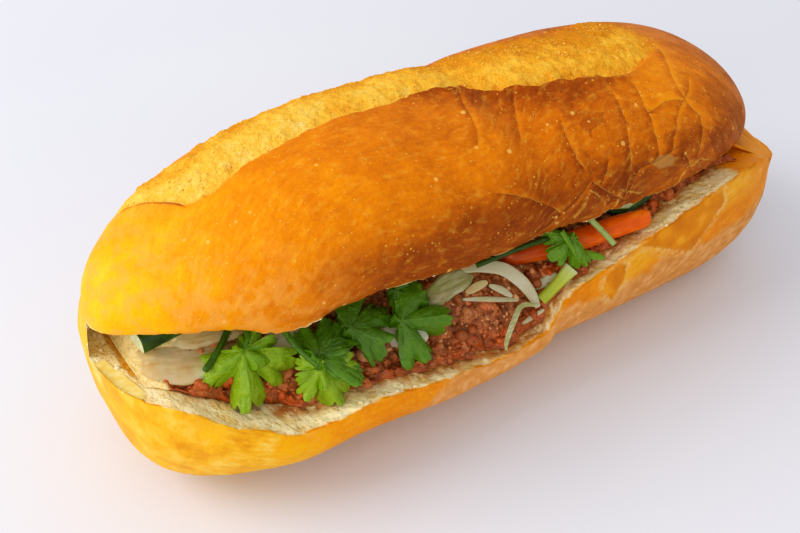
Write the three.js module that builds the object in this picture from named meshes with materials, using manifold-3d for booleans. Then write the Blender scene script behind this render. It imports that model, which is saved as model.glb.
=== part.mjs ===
// Banh mi sandwich: a crusty roll split along its front, filled with ground meat,
// onion, cucumber, chilli and coriander.
// Millimetres, +Z up. X runs along the roll, the slit opens towards -Y, and the
// roll rests on z = 0 with the origin under the middle of its bounding box.
//
// Places along the roll are given by t, from -1 at the left tip to 1 at the right
// tip. A list of sizes "along the roll" holds evenly spaced stations, left to right.

import * as THREE from 'three';
import { mergeVertices } from 'three/addons/utils/BufferGeometryUtils.js';
import Module from 'manifold-3d';

const wasm = await Module();
wasm.setup();

// ---- Driving dimensions of the roll -------------------------------------------

const BOTTOM_LEFT = -116;
const BOTTOM_RIGHT = 116;
const TOP_LEFT = -115;
const TOP_RIGHT = 105;
const TIP_SET_BACK = 2;
const LAST_STATION = 0.9995;
const STATIONS = 40;

// bottom half
const BOTTOM_FRONT_WIDTHS = [44, 47.5, 46.5, 46, 45.5, 45];
const BOTTOM_BACK_WIDTH = 45;
const BOTTOM_RIM_HEIGHTS = [46, 36.5, 32, 27, 26, 31.5, 39.5, 43, 33];
const FRONT_POWERS = [0.8, 1, 1.12, 1.06, 1.16, 1.02, 0.92, 0.8, 0.8];
const BACK_POWER = 0.8;
const BACK_RIM_HEIGHT = 40;
const RIM_STEP = 10.6;
const RIM_STEP_START = 0.02;
const RIM_STEP_LENGTH = 0.09;
const RIM_LEAN = 2.5;
const FOOT_SINK = 1;
const FOOT_REACH = 20;

// top half
const TOP_FRONT_WIDTHS = [34, 38, 36, 38.5, 42, 45];
const TOP_BACK_WIDTH = 39;
const RIDGE_HEIGHTS = [86, 88, 89, 87, 86.5, 86.5, 85.5];
const TOP_RIM_HEIGHTS = [60.5, 59.5, 58.5, 58, 56];
const TOP_RIM_WAVES = [2, 3, 1.5, -3, 0.3, 1, -1.3, -2.7, -2.2, -0.5, -1.3, -1, -2, 0, 0, 0, 0];
const WIDEST_ABOVE_RIM = 6.5;
const TOP_TURN = THREE.MathUtils.degToRad(200);
const RIDGE_NOTCH = 2;

// score along the top: the line of its front lip, as an angle round the top half
const LIP_ANGLES = [30, 88, 87, 85, 86, 101.5, 111, 97, 95];
const SCORE_LEFT = -0.87;
const SCORE_RIGHT = 0.76;
const LIP_RISE = 1.8;
const SCORE_SINK = 2.6;

// slit: its two faces run from the rims back to the hinge
const HINGE_FLOOR = { y: 32, z: 41 };
const HINGE_CEILING = { y: 29, z: 46 };
const FLOOR_HOLLOW = 3.5;
const CEILING_HOLLOW = 3;
const SLIT_FADE_START = 0.66;
const SLIT_FADE_LENGTH = 0.17;
const SLIT_LEFT_OVER = 0.07;

// ---- Driving dimensions of the filling ----------------------------------------

const GAP = 0.3;
const SLIVER = 0.04;
const HEAP_LEFT = -0.95;
const HEAP_RIGHT = 0.74;
const HEAP_HEIGHTS = [44, 43.5, 42, 41, 40, 41, 47, 49, 50];
const HEAP_FRONT_EDGES = [0.14, 0.14, 0.1, 0.06, 0.05, 0.08, 0.12, 0.16, 0.18];
const HEAP_FRONT_SLOPE = 0.16;
const HEAP_CLEAR = 0.6;
const HEAP_PRESSED_START = 0.3;
const HEAP_PRESSED_LENGTH = 0.3;
const HEAP_BACK_EDGE = 0.92;
const HEAP_STATIONS = 22;
const LUMPS = 72;
const LUMP_RADIUS = 3.1;
const LEAF_THICKNESS = 0.6;
const LOBE_TURN = 1.04;
const LOBE_HALF_WIDTH = 0.52;
const SLICE_THICKNESS = 1.5;

// ---- Colours ---------------------------------------------------------------------

const FINISHES = {
  crust: { color: 0xe08a1e, roughness: 0.45 },
  meat: { color: 0xa05a40, roughness: 0.6 },
  onion: { color: 0xe8e0cc, roughness: 0.35 },
  greenOnion: { color: 0xb9cc62, roughness: 0.35 },
  cucumber: { color: 0x3f6b25, roughness: 0.4 },
  chilli: { color: 0xcc4a12, roughness: 0.25 },
  herb: { color: 0x5f9a12, roughness: 0.5 },
};

// ---- Small mathematics ------------------------------------------------------------

const { lerp, clamp, degToRad } = THREE.MathUtils;
const smooth = (k) => THREE.MathUtils.smoothstep(k, 0, 1);
const hump = (value, centre, width) => Math.exp(-(((value - centre) / width) ** 2));
const signedPower = (value, power) => Math.sign(value) * Math.abs(value) ** power;
const bell = (t, sharpness, root) => Math.max(0, 1 - Math.abs(t) ** sharpness) ** (1 / root);
const half = (t) => (t + 1) / 2;
const vec = (x, y, z) => new THREE.Vector3(x, y, z);

/** Value at t of sizes given at evenly spaced stations along the roll. */
function alongRoll(sizes, t) {
  const last = sizes.length - 1;
  const place = clamp(half(t) * last, 0, last - 1e-9);
  const index = Math.floor(place);
  const f = place - index;
  const before = sizes[Math.max(index - 1, 0)];
  const from = sizes[index];
  const to = sizes[index + 1];
  const after = sizes[Math.min(index + 2, last)];
  const bend = 2 * before - 5 * from + 4 * to - after + f * (3 * (from - to) + after - before);
  return from + 0.5 * f * (to - before + f * bend);
}

/** Repeatable random numbers between 0 and 1. */
function seededRandom(seed) {
  let state = seed;
  return () => {
    state = (state + 0x6d2b79f5) | 0;
    let mixed = Math.imul(state ^ (state >>> 15), 1 | state);
    mixed = (mixed + Math.imul(mixed ^ (mixed >>> 7), 61 | mixed)) ^ mixed;
    return ((mixed ^ (mixed >>> 14)) >>> 0) / 4294967296;
  };
}

// ---- Closed meshes ------------------------------------------------------------------

function geometryFrom(points, triangles) {
  const geometry = new THREE.BufferGeometry();
  const numbers = new Float32Array(points.flatMap((p) => [p.x, p.y, p.z]));
  geometry.setAttribute('position', new THREE.BufferAttribute(numbers, 3));
  geometry.setIndex(triangles);
  return geometry;
}

/** Triangles that close a ring of points, found after "flatten" has laid it in a plane. */
function capTriangles(ring, first, flatten) {
  const faces = THREE.ShapeUtils.triangulateShape(ring.map(flatten), []);
  return faces.map((face) => face.map((corner) => first + corner));
}

/** Closed solid through rings of equal count that turn anticlockwise seen from its far end. */
function loft(rings, flatten) {
  const count = rings[0].length;
  const triangles = [];
  for (let r = 0; r + 1 < rings.length; r += 1) {
    for (let i = 0; i < count; i += 1) {
      const a = r * count + i;
      const b = r * count + ((i + 1) % count);
      triangles.push(a, b, b + count, a, b + count, a + count);
    }
  }
  const lastRing = rings.length - 1;
  for (const face of capTriangles(rings[lastRing], lastRing * count, flatten)) {
    triangles.push(...face);
  }
  for (const face of capTriangles(rings[0], 0, flatten)) {
    triangles.push(face[0], face[2], face[1]);
  }
  return geometryFrom(rings.flat(), triangles);
}

/** Closed sheet between an upper and a lower surface, both of rings round a middle point. */
function disc(ringCount, sides, pointAt) {
  const points = [];
  const triangles = [];
  const ringStart = (face, ring) => face * (1 + ringCount * sides) + 1 + (ring - 1) * sides;
  for (const face of [0, 1]) {
    points.push(pointAt(0, 0, face));
    for (let ring = 1; ring <= ringCount; ring += 1) {
      for (let i = 0; i < sides; i += 1) {
        points.push(pointAt(ring / ringCount, (i / sides) * Math.PI * 2, face));
      }
    }
    const middle = ringStart(face, 1) - 1;
    for (let i = 0; i < sides; i += 1) {
      const next = (i + 1) % sides;
      const fan = [middle, ringStart(face, 1) + i, ringStart(face, 1) + next];
      triangles.push(...(face === 1 ? fan : [fan[0], fan[2], fan[1]]));
      for (let ring = 1; ring < ringCount; ring += 1) {
        const a = ringStart(face, ring) + i;
        const b = ringStart(face, ring) + next;
        const c = ringStart(face, ring + 1) + next;
        const d = ringStart(face, ring + 1) + i;
        triangles.push(...(face === 1 ? [a, d, c, a, c, b] : [a, c, d, a, b, c]));
      }
    }
  }
  for (let i = 0; i < sides; i += 1) {
    const next = (i + 1) % sides;
    const low = ringStart(0, ringCount);
    const high = ringStart(1, ringCount);
    triangles.push(low + i, low + next, high + next, low + i, high + next, high + i);
  }
  return geometryFrom(points, triangles);
}

// ---- Solids that are joined or cut ---------------------------------------------------

function toSolid(geometry) {
  const bare = geometry.clone();
  bare.deleteAttribute('normal');
  bare.deleteAttribute('uv');
  const welded = mergeVertices(bare, 1e-4);
  const vertProperties = new Float32Array(welded.attributes.position.array);
  const triVerts = new Uint32Array(welded.index.array);
  return new wasm.Manifold(new wasm.Mesh({ numProp: 3, vertProperties, triVerts }));
}

/** Surface of a solid, without the slivers that joins and cuts leave. */
function toGeometry(solid) {
  const mesh = solid.asOriginal().simplify(SLIVER).getMesh();
  const geometry = new THREE.BufferGeometry();
  geometry.setAttribute('position', new THREE.BufferAttribute(mesh.vertProperties, 3));
  geometry.setIndex(new THREE.BufferAttribute(mesh.triVerts, 1));
  return geometry;
}

/** The solid that all the given solids make together. */
const joined = (solids) => solids.reduce((whole, solid) => whole.add(solid));

/** A solid whose surface stands a gap proud of the given geometry. */
function grown(geometry, gap) {
  const bare = geometry.clone();
  bare.deleteAttribute('normal');
  const welded = mergeVertices(bare, 1e-4);
  welded.computeVertexNormals();
  const { position, normal } = welded.attributes;
  for (let i = 0; i < position.count; i += 1) {
    position.setXYZ(
      i,
      position.getX(i) + gap * normal.getX(i),
      position.getY(i) + gap * normal.getY(i),
      position.getZ(i) + gap * normal.getZ(i),
    );
  }
  return toSolid(welded);
}

/** The largest single body of a solid, without the scraps that a cut leaves. */
function largestBody(solid) {
  const bodies = solid.decompose();
  return bodies.reduce((best, body) => (body.volume() > best.volume() ? body : best));
}

// ---- Roll ------------------------------------------------------------------------------

function taperBottom(t, y, z) {
  const size = bell(t, lerp(5.6, 5.2, half(t)), lerp(2.6, 3.4, half(t)));
  const tipHeight = lerp(41, 36, smooth((t - 0.4) / 0.6));
  return { y: TIP_SET_BACK * (1 - size) + y * size, z: tipHeight + (z - tipHeight) * size ** 0.7 };
}

function taperTop(t, y, z) {
  const size = bell(t, lerp(2.4, 4.3, half(t)), 2.1);
  const tipHeight = lerp(54, 52.5, half(t));
  return { y: TIP_SET_BACK * (1 - size) + y * size, z: tipHeight + (z - tipHeight) * size ** 0.85 };
}

const bottomX = (t) => lerp(BOTTOM_LEFT, BOTTOM_RIGHT, half(t));
const topX = (t) => lerp(TOP_LEFT, TOP_RIGHT, half(t));

/** Height of the bottom crust's front rim, with its dips and the torn step. */
function bottomRimHeight(t) {
  const step = RIM_STEP * smooth((t - RIM_STEP_START) / RIM_STEP_LENGTH);
  const crests = 1.5 * hump(t, -0.42, 0.12) + 3.5 * hump(t, -0.9, 0.06);
  const dips = 3.8 * hump(t, -0.66, 0.1) + 1.2 * hump(t, -0.08, 0.08);
  return alongRoll(BOTTOM_RIM_HEIGHTS, t) + step + crests - dips;
}

/** Bottom half's section before it tapers: angle 0 is the front rim, half a turn is the back. */
function bottomProfile(t, angle) {
  const front = smooth((Math.PI / 2 - angle) / (Math.PI / 2));
  const width = lerp(BOTTOM_BACK_WIDTH, alongRoll(BOTTOM_FRONT_WIDTHS, t), front);
  const rim = lerp(BACK_RIM_HEIGHT, bottomRimHeight(t), front);
  const lean = RIM_LEAN * Math.exp(-((angle / 0.25) ** 2));
  const power = angle < Math.PI / 2 ? alongRoll(FRONT_POWERS, t) : BACK_POWER;
  const side = -width * signedPower(Math.cos(angle), power) + lean;
  const height = Math.max(rim - (rim + 4) * Math.abs(Math.sin(angle)) ** power, 0);
  return { y: side, z: height };
}

/** Point of the bottom crust, on a foot that is pressed flat. */
function bottomSkin(t, angle) {
  const profile = bottomProfile(t, angle);
  const { y, z } = taperBottom(t, profile.y, profile.z);
  const sunk = z < FOOT_REACH ? Math.max(z - FOOT_SINK * (1 - z / FOOT_REACH), 0) : z;
  return vec(bottomX(t), y, sunk);
}

/** How far the top crust stands out or sinks in along the score. */
function scoreRelief(t, angle) {
  const lip = degToRad(alongRoll(LIP_ANGLES, t));
  const open = smooth((t - SCORE_LEFT) / 0.07) * smooth((SCORE_RIGHT - t) / 0.15);
  const ridge = LIP_RISE * hump(angle, lip + 0.02, 0.09);
  const groove = SCORE_SINK * hump(angle, lip - 0.16, 0.1);
  return open * (ridge - groove);
}

/** Top half's section before it tapers: angle 0 is the back, TOP_TURN is the front rim. */
function topProfile(t, angle) {
  const front = smooth((angle - Math.PI / 2) / (Math.PI / 2));
  const width = lerp(TOP_BACK_WIDTH, alongRoll(TOP_FRONT_WIDTHS, t), front);
  const widest = alongRoll(TOP_RIM_HEIGHTS, t) + WIDEST_ABOVE_RIM;
  const rise = alongRoll(RIDGE_HEIGHTS, t) - RIDGE_NOTCH * hump(t, 0.12, 0.06) - widest;
  const drop = (WIDEST_ABOVE_RIM - alongRoll(TOP_RIM_WAVES, t)) / Math.abs(Math.sin(TOP_TURN));
  const relief = scoreRelief(t, angle);
  const sine = Math.sin(angle);
  const lift = sine >= 0 ? (rise + relief) * sine ** (1 / 1.1) : drop * sine;
  const side = (width + relief) * signedPower(Math.cos(angle), 1 / 1.1);
  return { y: side, z: widest + lift };
}

/** Point of the top crust. */
function topSkin(t, angle) {
  const profile = topProfile(t, angle);
  const { y, z } = taperTop(t, profile.y, profile.z);
  return vec(topX(t), y, z);
}

/** Share of the slit's full depth that is open at t. */
function slitDepth(t) {
  return 1 - (1 - SLIT_LEFT_OVER) * smooth((t - SLIT_FADE_START) / SLIT_FADE_LENGTH);
}

/** Section of a slit face before it tapers: k is 0 at the rim and 1 at the hinge. */
function slitProfile(rim, hinge, t, k, hollow) {
  const depth = slitDepth(t);
  const bow = hollow * depth * Math.sin(Math.PI * k);
  return { y: lerp(rim.y, hinge.y, k * depth), z: lerp(rim.z, hinge.z, k * depth) + bow };
}

function floorPoint(t, k) {
  const profile = slitProfile(bottomProfile(t, 0), HINGE_FLOOR, t, k, -FLOOR_HOLLOW);
  const { y, z } = taperBottom(t, profile.y, profile.z);
  return vec(bottomX(t), y, z);
}

function ceilingPoint(t, k) {
  const profile = slitProfile(topProfile(t, TOP_TURN), HINGE_CEILING, t, k, CEILING_HOLLOW);
  const { y, z } = taperTop(t, profile.y, profile.z);
  return vec(topX(t), y, z);
}

/** Angles round the top half, closest together at the lip of the score. */
function topAngles(t) {
  const lip = degToRad(alongRoll(LIP_ANGLES, t));
  const angles = [];
  for (let i = 0; i < 5; i += 1) {
    angles.push(((lip - 0.36) * i) / 5);
  }
  for (const step of [-0.36, -0.24, -0.14, -0.04, 0.04, 0.16]) {
    angles.push(lip + step);
  }
  for (let i = 1; i <= 9; i += 1) {
    angles.push(lerp(lip + 0.16, TOP_TURN, i / 9));
  }
  return angles;
}

/** Section of the whole roll at t: a C that opens to the front. */
function rollSection(t) {
  const ring = [bottomSkin(t, 0), bottomSkin(t, 0.12)];
  for (let i = 1; i <= 14; i += 1) {
    ring.push(bottomSkin(t, (Math.PI * i) / 14));
  }
  const backLow = bottomSkin(t, Math.PI);
  const backHigh = topSkin(t, 0);
  for (const k of [1 / 3, 2 / 3]) {
    const wall = backLow.clone().lerp(backHigh, k);
    wall.y += 1.2 * Math.sin(Math.PI * k) * bell(t, 5, 2);
    ring.push(wall);
  }
  for (const angle of topAngles(t)) {
    ring.push(topSkin(t, angle));
  }
  for (let i = 1; i <= 6; i += 1) {
    ring.push(ceilingPoint(t, i / 6));
  }
  for (let i = 6; i >= 1; i -= 1) {
    ring.push(floorPoint(t, i / 6));
  }
  return ring;
}

function rollGeometry() {
  const rings = [];
  for (let s = 0; s <= STATIONS; s += 1) {
    const u = -1 + (2 * s) / STATIONS;
    const eased = 0.35 * u + 0.65 * Math.sin((u * Math.PI) / 2);
    rings.push(rollSection(eased * LAST_STATION));
  }
  return loft(rings, (p) => new THREE.Vector2(p.y, p.z));
}

// ---- Ground meat --------------------------------------------------------------------

/** Height of the slit's upper face over a point. */
function ceilingOver(point) {
  const t = ((point.x - TOP_LEFT) / (TOP_RIGHT - TOP_LEFT)) * 2 - 1;
  const rim = ceilingPoint(t, 0);
  const hinge = ceilingPoint(t, 1);
  const k = clamp((point.y - rim.y) / (hinge.y - rim.y), 0, 1);
  return ceilingPoint(t, k).z;
}

/** Top of the heap at t, where k runs from rim to hinge: low in front, pressed by the top half behind. */
function heapTop(t, k) {
  const floor = floorPoint(t, k);
  const edge = alongRoll(HEAP_FRONT_EDGES, t);
  const pressed = smooth((k - HEAP_PRESSED_START) / HEAP_PRESSED_LENGTH);
  const level = lerp(alongRoll(HEAP_HEIGHTS, t), ceilingOver(floor) - HEAP_CLEAR, pressed);
  const rise = smooth((k - edge) / HEAP_FRONT_SLOPE);
  const ends = smooth((t - HEAP_LEFT) / 0.06) * smooth((HEAP_RIGHT - t) / 0.1);
  const top = lerp(floorPoint(t, edge).z, level, rise);
  floor.z = Math.max(floor.z + 2 * HEAP_CLEAR, lerp(floor.z, top, ends));
  return floor;
}

function heapCore() {
  const rings = [];
  for (let s = 0; s <= HEAP_STATIONS; s += 1) {
    const t = lerp(HEAP_LEFT, HEAP_RIGHT, s / HEAP_STATIONS);
    const edge = alongRoll(HEAP_FRONT_EDGES, t);
    const ring = [];
    for (let i = 0; i <= 5; i += 1) {
      const under = floorPoint(t, lerp(edge, HEAP_BACK_EDGE, i / 5));
      ring.push(vec(under.x, under.y, under.z + HEAP_CLEAR));
    }
    for (const k of [HEAP_BACK_EDGE, 0.75, 0.6, 0.5, 0.4, 0.3]) {
      ring.push(heapTop(t, k));
    }
    for (const step of [0.14, 0.09, 0.04]) {
      ring.push(heapTop(t, edge + step));
    }
    rings.push(ring);
  }
  return loft(rings, (p) => new THREE.Vector2(p.y, p.z));
}

/** Uneven lump of meat with twenty faces. */
function lumpGeometry(centre, radius, random) {
  const faceted = new THREE.IcosahedronGeometry(radius, 0);
  faceted.deleteAttribute('normal');
  faceted.deleteAttribute('uv');
  const lump = mergeVertices(faceted);
  const { position } = lump.attributes;
  const turn = new THREE.Euler(random() * 6, random() * 6, random() * 6);
  const stretch = vec(0.8 + 0.5 * random(), 0.8 + 0.4 * random(), 0.75 + 0.4 * random());
  for (let i = 0; i < position.count; i += 1) {
    const point = new THREE.Vector3().fromBufferAttribute(position, i);
    point.multiply(stretch).applyEuler(turn).add(centre);
    position.setXYZ(i, point.x, point.y, point.z);
  }
  return lump;
}

function groundMeat(roll) {
  const random = seededRandom(11);
  const solids = [toSolid(heapCore())];
  for (let i = 0; i < LUMPS; i += 1) {
    const t = lerp(HEAP_LEFT + 0.03, HEAP_RIGHT - 0.04, (i + random()) / LUMPS);
    const edge = alongRoll(HEAP_FRONT_EDGES, t);
    const k = edge + 0.02 + 0.24 * ((i * 0.618) % 1);
    const radius = LUMP_RADIUS * (0.75 + 0.5 * random());
    const centre = heapTop(t, k);
    const lowest = floorPoint(t, k).z + HEAP_CLEAR + 1.15 * radius;
    centre.z = Math.max(centre.z - 0.6 * radius, lowest);
    solids.push(toSolid(lumpGeometry(centre, radius, random)));
  }
  return toGeometry(largestBody(joined(solids).subtract(grown(roll, GAP))));
}

// ---- Slices, strips and stems ---------------------------------------------------------

/** Frame with X along the piece and Z as near to "facing" as it can be. */
function frameAt(origin, alongDirection, facing) {
  const x = alongDirection.clone().normalize();
  const y = new THREE.Vector3().crossVectors(facing, x).normalize();
  const z = new THREE.Vector3().crossVectors(x, y);
  return new THREE.Matrix4().makeBasis(x, y, z).setPosition(origin);
}

/** Thin slice with a wavy edge: half sizes along X and Y, gently dished. */
function sliceGeometry(slice) {
  const { length, width, thickness = SLICE_THICKNESS, dish = 0.6, power = 2.6, phase = 0 } = slice;
  const outline = (share, angle, face) => {
    const c = Math.cos(angle);
    const s = Math.sin(angle);
    const reach = (Math.abs(c) ** power + Math.abs(s) ** power) ** (-1 / power);
    const wave = 1 + 0.05 * Math.sin(3 * angle + phase) + 0.03 * Math.sin(7 * angle + phase);
    const x = (length / 2) * share * reach * wave * c;
    const y = (width / 2) * share * reach * wave * s;
    const z = dish * share * share * Math.cos(2 * angle + phase) + (face - 0.5) * thickness;
    return vec(x, y, z);
  };
  const geometry = disc(1, 16, outline);
  return geometry.applyMatrix4(frameAt(slice.centre, slice.along, slice.facing));
}

/** Directions along a curve with a side direction square to "facing". */
function curveFrames(points, facing, steps) {
  const curve = new THREE.CatmullRomCurve3(points, false, 'centripetal');
  const frames = [];
  for (let i = 0; i <= steps; i += 1) {
    const ahead = curve.getTangentAt(i / steps);
    const side = new THREE.Vector3().crossVectors(facing, ahead).normalize();
    const up = new THREE.Vector3().crossVectors(ahead, side);
    frames.push({ share: i / steps, point: curve.getPointAt(i / steps), side, up });
  }
  return frames;
}

/** Ring of points round a curve's frame, anticlockwise seen from the curve's far end. */
function sectionRing(frame, sides, halfWidth, halfHeight) {
  const ring = [];
  for (let i = 0; i < sides; i += 1) {
    const angle = ((i + 0.5) / sides) * Math.PI * 2;
    const point = frame.point.clone();
    point.addScaledVector(frame.side, halfWidth * Math.cos(angle));
    point.addScaledVector(frame.up, halfHeight * Math.sin(angle));
    ring.push(point);
  }
  return ring;
}

/** Closed solid that follows a curve, with a half width and half height at each place. */
function sweep({ points, facing, steps, sides, halfWidth, halfHeight }) {
  const frames = curveFrames(points, facing, steps);
  const rings = frames.map((f) => sectionRing(f, sides, halfWidth(f.share), halfHeight(f.share)));
  const triangles = [];
  for (let r = 0; r < steps; r += 1) {
    for (let i = 0; i < sides; i += 1) {
      const a = r * sides + i;
      const b = r * sides + ((i + 1) % sides);
      triangles.push(a, b, b + sides, a, b + sides, a + sides);
    }
  }
  const farEnd = steps * sides;
  for (let i = 1; i + 1 < sides; i += 1) {
    triangles.push(0, i + 1, i);
    triangles.push(farEnd, farEnd + i, farEnd + i + 1);
  }
  return geometryFrom(rings.flat(), triangles);
}

/** Round stem of even thickness that narrows a little to its far end. */
function stemGeometry(points, radius, facing = vec(0, 0, 1)) {
  const thick = (share) => radius * (1 - 0.25 * share);
  return sweep({ points, facing, steps: 5, sides: 6, halfWidth: thick, halfHeight: thick });
}

/** Flat strip, such as a shred of onion, that narrows to a point at both ends. */
function stripGeometry(points, width, thickness, facing, steps = 9) {
  const taper = (share) => 0.35 + 0.65 * Math.sin(Math.PI * clamp(share, 0.04, 0.96)) ** 0.5;
  return sweep({
    points,
    facing,
    steps,
    sides: 4,
    halfWidth: (share) => (width / 1.414) * taper(share),
    halfHeight: () => thickness / 1.414,
  });
}

// ---- Coriander ---------------------------------------------------------------------------

/** Reach of a coriander leaf's edge at an angle from its middle line, as a share of its length. */
function leafReach(angle) {
  const turned = Math.atan2(Math.sin(angle), Math.cos(angle));
  const lobe = (centre) => smooth((1 - Math.abs(turned - centre) / LOBE_HALF_WIDTH) / 0.4);
  const middle = 0.62 * lobe(0);
  const side = 0.5 * Math.max(lobe(LOBE_TURN), lobe(-LOBE_TURN));
  const wedge = 1 - 0.65 * smooth((Math.abs(turned) - 1.5) / 0.5);
  return (0.38 + Math.max(middle, side)) * wedge;
}

/** Thin wavy leaf blade from its base to its tip. */
function leafGeometry({ base, tip, facing, width = 1, curl = 0.12, wave = 0.05, phase = 0 }) {
  const length = base.distanceTo(tip);
  const pointAt = (share, angle, face) => {
    const reach = share * length * leafReach(angle);
    const x = reach * Math.cos(angle);
    const y = reach * Math.sin(angle) * width;
    const ruffle = wave * length * share * share * Math.sin(5 * angle + phase);
    const bend = -curl * (x * x + y * y) / length;
    return vec(x, y, bend + ruffle + (face - 0.5) * LEAF_THICKNESS);
  };
  const geometry = disc(2, 24, pointAt);
  return geometry.applyMatrix4(frameAt(base, tip.clone().sub(base), facing));
}

/** Leaves and stems that grow together. */
const sprig = (geometries) => toGeometry(joined(geometries.map(toSolid)));

// ---- Pieces of the filling ------------------------------------------------------------------

const UP_FRONT = vec(-0.25, -0.5, 0.83);

/** Baton of cucumber with its peel to the front and a slanting cut end. */
function cucumberBaton() {
  return sweep({
    points: [vec(-105.8, -6.2, 51.2), vec(-96, -5.4, 51.6), vec(-86, -4, 52)],
    facing: vec(0, 0, 1),
    steps: 3,
    sides: 6,
    halfWidth: () => 4.6,
    halfHeight: () => 3.2,
  });
}

function cucumberSlice() {
  return sliceGeometry({
    centre: vec(44, -24.4, 51),
    along: vec(1, -0.3, 0.1),
    facing: vec(-0.1, -0.25, 0.96),
    length: 25,
    width: 15,
    thickness: 3,
    dish: 0.3,
    power: 2.1,
  });
}

const ONION_SLICES = {
  onion_slice_left: {
    centre: vec(-95.8, -14.8, 46.6),
    along: vec(20, -9, -0.6),
    facing: vec(-0.05, -0.12, 0.99),
    length: 25,
    width: 14,
    phase: 0.6,
  },
  onion_slice_behind: {
    centre: vec(-87.6, -11.4, 49),
    along: vec(16, -6, -0.8),
    facing: vec(0, -0.1, 0.99),
    length: 20,
    width: 10,
    phase: 2.1,
  },
  onion_slice_middle: {
    centre: vec(-72.8, -23.2, 45.8),
    along: vec(12, 0.6, 1.2),
    facing: vec(-0.1, -0.3, 0.95),
    length: 15,
    width: 9,
    phase: 4,
  },
  onion_slice_centre: {
    centre: vec(-39.8, -32.2, 40.2),
    along: vec(10, -6.4, -4.6),
    facing: vec(-0.1, -0.68, 0.72),
    length: 14,
    width: 8.5,
    phase: 1.2,
  },
  onion_slice_green: {
    centre: vec(-20.6, -26.8, 43.8),
    along: vec(16.6, 2.6, 1),
    facing: vec(-0.1, -0.45, 0.89),
    length: 17,
    width: 7,
    phase: 3.3,
  },
  onion_piece_right: {
    centre: vec(8.2, -35, 38.2),
    along: vec(6, -2.4, 3.6),
    facing: vec(-0.2, -0.6, 0.78),
    length: 8,
    width: 3.4,
    thickness: 1.2,
    phase: 0,
  },
};

function onionArcOuter() {
  return stripGeometry(
    [
      vec(-14, -24, 44.6),
      vec(-8.9, -25.8, 45),
      vec(-3.4, -29.2, 44.2),
      vec(0.4, -33.1, 40.8),
      vec(2.5, -36, 36.9),
      vec(3.4, -38.6, 33.2),
    ],
    2.1,
    0.8,
    vec(-0.5, -0.3, 0.8),
    12,
  );
}

function onionArcInner() {
  return stripGeometry(
    [vec(-8.8, -30.4, 41.3), vec(-6.2, -32.4, 40), vec(-3.3, -34.4, 37.4)],
    1.1,
    0.6,
    UP_FRONT,
    7,
  );
}

function onionTip() {
  return stripGeometry(
    [vec(-16.8, -30.1, 42), vec(-13.4, -30.3, 42.8), vec(-9.9, -30.7, 43.4)],
    1.3,
    0.7,
    UP_FRONT,
    5,
  );
}

function shredStraight() {
  return stripGeometry(
    [vec(-18.4, -30.8, 40.8), vec(-12.4, -32.6, 39.4), vec(-2, -35.6, 36.2)],
    0.8,
    0.5,
    UP_FRONT,
    5,
  );
}

function shredBent() {
  return stripGeometry(
    [
      vec(2.5, -39.5, 35),
      vec(-2.4, -38.1, 36),
      vec(-7, -40.4, 34),
      vec(-10.8, -42.6, 30),
      vec(-11.8, -43.8, 27.8),
    ],
    0.9,
    0.5,
    UP_FRONT,
    9,
  );
}

function shredShort() {
  return stripGeometry(
    [vec(-1.6, -38.2, 28.6), vec(2.6, -38.2, 29.7), vec(5.4, -39.2, 31.6)],
    0.8,
    0.5,
    UP_FRONT,
    5,
  );
}

/** Length of green onion with a cut flat end that flares a little. */
function greenOnionStalk() {
  const thick = (share) => 1.6 + 0.7 * share ** 3;
  return sweep({
    points: [vec(4.8, -38.2, 34.8), vec(10, -38.4, 38.6), vec(15.3, -38.2, 42.4)],
    facing: UP_FRONT,
    steps: 5,
    sides: 8,
    halfWidth: thick,
    halfHeight: (share) => 0.85 * thick(share),
  });
}

/** Long chilli that lies along the heap, rounded at its right end. */
function redChilli() {
  const round = (share) => 3.5 * Math.max(0.25, (1 - ((share - 0.5) / 0.5) ** 8)) ** 0.5;
  return sweep({
    points: [
      vec(-0.6, -25, 44.4),
      vec(9, -28, 44.6),
      vec(18, -30.6, 45),
      vec(26, -32.6, 45.8),
      vec(33, -34.2, 46.8),
      vec(39, -36.4, 48.2),
      vec(44.4, -38.8, 49.6),
    ],
    facing: vec(0, 0, 1),
    steps: 12,
    sides: 8,
    halfWidth: round,
    halfHeight: (share) => 0.9 * round(share),
  });
}

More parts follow.
